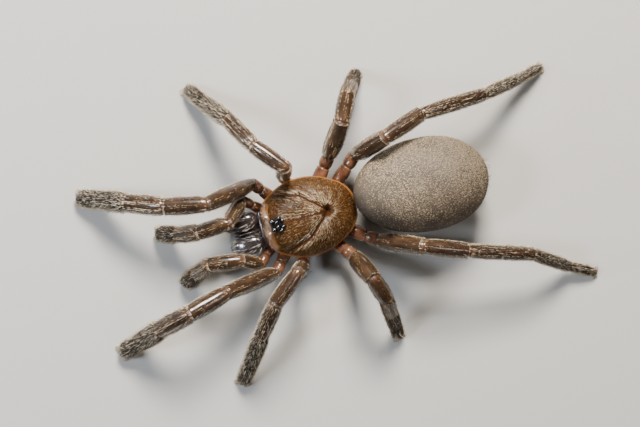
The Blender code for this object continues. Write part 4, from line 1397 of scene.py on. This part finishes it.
def jaw_hairs(side, seed):
    """Dark hairs in lengthwise rows on one jaw, pointing forward, with a few bold pale ones."""
    rng = np.random.default_rng(seed)
    places = unit(rng.normal(0, 1, (JAW_HAIRS * 8, 3)))
    around = np.arctan2(places[:, 2], places[:, 0])
    row = 0.5 + 0.5 * np.cos(around * 2 * JAW_ROWS)
    thick = (BETWEEN_ROWS + (1 - BETWEEN_ROWS) * row ** 2) * (0.12 + 0.88 * ramp(places[:, 1], 0.6, 0.2))
    kept = (rng.uniform(0, 1, len(places)) < thick) & (places[:, 0] * side > -0.8)
    places, around = places[kept][:JAW_HAIRS], around[kept][:JAW_HAIRS]
    count = len(places)
    roots = jaw_place(side)(places)
    normals = unit(unit(roots - CHELICERA_CENTRE * (side, 1, 1)) + unit(places / CHELICERA_SIZE))
    lies = rng.normal(0, 0.05, (count, 3)) + (0.0, -1.0, -0.15)
    bold = rng.uniform(0, 1, count) < BOLD_SHARE
    tones = np.where(bold, rng.uniform(*BOLD_TONES, count), rng.uniform(*DARK_TONES, count))
    lengths, widths, rises = varied(rng, count, JAW_HAIR_SIZES, JAW_SPREADS)
    return hair_shapes(roots, normals, lies, lengths * np.where(bold, BOLD_LENGTH, 1),
                       widths * np.where(bold, BOLD_WIDTH, 1), rises, JAW_SETTLE, tones,
                       bold * rng.uniform(0, 0.6, count),
                       np.stack([around / (2 * np.pi) + 0.5, places[:, 1] / 2 + 0.5], -1))


for side_name, side in SIDES.items():
    make_coat(f"chelicera_{side_name}_coat", [jaw_hairs(side, JAW_SEED + side)], JAW_HAIR, "jaws")

# %% Make the spinneret hairs
SPINNERET_SEED = 8800
SPINNERET_HAIRS = 380
SPINNERET_HAIR, SPINNERET_SPREADS = (0.4, 0.03, 28.0, 22.0), (0.3, 0.0, 0.3, 0.0)


def spinneret_hairs(side_name, rng):
    """Hairs all round one spinneret, along its axis."""
    t = rng.uniform(0.08, 0.98, SPINNERET_HAIRS)
    around = rng.uniform(0, 2 * np.pi, SPINNERET_HAIRS)
    axis, level, upper = spinneret_frame(side_name)[1:]
    normals = round_axis(level, upper, around, 1.0)
    return hair_shapes(spinneret_point(side_name, t, around), normals, np.tile(axis, (SPINNERET_HAIRS, 1)),
                       *varied(rng, SPINNERET_HAIRS, SPINNERET_HAIR, SPINNERET_SPREADS),
                       rng.uniform(0, 0.9, SPINNERET_HAIRS), rng.uniform(0, 0.4, SPINNERET_HAIRS),
                       np.stack([t, around / (2 * np.pi)], -1))


for side_name in SIDES:
    lot = spinneret_hairs(side_name, np.random.default_rng(SPINNERET_SEED + len(side_name)))
    make_coat(f"spinneret_{side_name}_coat", [lot], ABDOMEN_HAIR, "abdomen")

# %% [markdown]
# ## The table, the lights and the camera
# The animal stands on a plain pale table. The photograph looks down on it with a macro lens, leaning a little
# toward its front, so the camera here is worked out the same way: a tilt, a roll, and a distance at which
# one millimetre of spider covers eleven pixels of a picture 640 pixels wide.
# Four square softboxes light it: a large warm key from the top of the picture, a faint fill, a small cool rim
# light, and a wide cool one that puts the glints on the eyes, the front band and the legs.

# %% Table
TABLE_HALF = 400.0
table_mesh = bpy.data.meshes.new("table_top")
corners = [(x * TABLE_HALF * MM, y * TABLE_HALF * MM, 0.0) for x, y in ((-1, -1), (1, -1), (1, 1), (-1, 1))]
table_mesh.from_pydata(corners, [], [(0, 1, 2, 3)])
table_mesh.materials.append(finish(new_paint("table_matt"), {
    "Base Color": (0.44, 0.42, 0.39), "Roughness": 0.9, "Specular IOR Level": 0.2}))
table_top = add_object("table_top", table_mesh)

# %% Camera
PIXELS_PER_MM = 11.0
PICTURE_WIDTH, PICTURE_HEIGHT = 640.0, 427.0
LENS, SENSOR = 100.0, 36.0
CAMERA_TILT, CAMERA_ROLL = math.radians(10.0), math.radians(16.0)
AIM_PIXEL = (310.5, 215.5)
AIM_POINT = np.array((0.0, 0.0, 4.0))

distance = PICTURE_WIDTH / PIXELS_PER_MM * LENS / SENSOR
back = np.array((0.0, -math.sin(CAMERA_TILT), math.cos(CAMERA_TILT)))
ahead = np.array((0.0, -math.cos(CAMERA_TILT), -math.sin(CAMERA_TILT)))
left = np.array((1.0, 0.0, 0.0))
right = -ahead * math.cos(CAMERA_ROLL) + left * math.sin(CAMERA_ROLL)
upward = np.cross(back, right)
off_centre = (AIM_PIXEL[0] - PICTURE_WIDTH / 2) * right + (PICTURE_HEIGHT / 2 - AIM_PIXEL[1]) * upward
eye_point = AIM_POINT - off_centre / PIXELS_PER_MM + back * distance

lens_data = bpy.data.cameras.new("macro")
lens_data.lens = LENS
lens_data.sensor_width = SENSOR
lens_data.clip_start = 0.001
lens_data.clip_end = 10.0
camera = add_object("macro", lens_data)


def aim(item, place, right, upward, back):
    """Sets an object at a place with its own axes along three directions."""
    turn = np.eye(4)
    turn[:3, 0], turn[:3, 1], turn[:3, 2] = right, upward, back
    turn[:3, 3] = (place + BODY_AT) * MM
    item.matrix_world = Matrix(turn)


aim(camera, eye_point, right, upward, back)
bpy.context.scene.camera = camera
print("camera at", np.round(eye_point, 1), "mm,", round(distance, 1), "mm away")


# %% Lights
def soft_light(name, direction, distance, size, power, tint):
    """A square softbox that faces the spider; its direction is in the camera's right, up and back."""
    lamp = bpy.data.lights.new(name, "AREA")
    lamp.size = size * MM
    lamp.energy = power
    lamp.color = tint
    facing = unit(right * direction[0] + upward * direction[1] + back * direction[2])
    side = unit(np.cross(upward, facing))
    aim(add_object(name, lamp), AIM_POINT + facing * distance, side, np.cross(facing, side), facing)


soft_light("key", (0.1, 0.98, 0.93), 190.0, 62.0, 1.26, (1.0, 0.955, 0.89))
soft_light("fill", (0.8, -0.1, 0.9), 200.0, 50.0, 0.05, (1.0, 0.97, 0.94))
soft_light("rim", (-0.95, 0.0, 0.6), 200.0, 14.0, 0.12, (0.75, 0.86, 1.0))
soft_light("spark", (-0.72, -0.05, 1.0), 200.0, 42.0, 0.34, (0.78, 0.87, 1.0))

SKY_TINT, SKY_STRENGTH = (1.0, 0.96, 0.9), 0.065
world = bpy.data.worlds.new("studio")
bpy.context.scene.world = world
world.use_nodes = True
sky = world.node_tree.nodes["Background"]
put(sky, "Color", SKY_TINT)
put(sky, "Strength", SKY_STRENGTH)
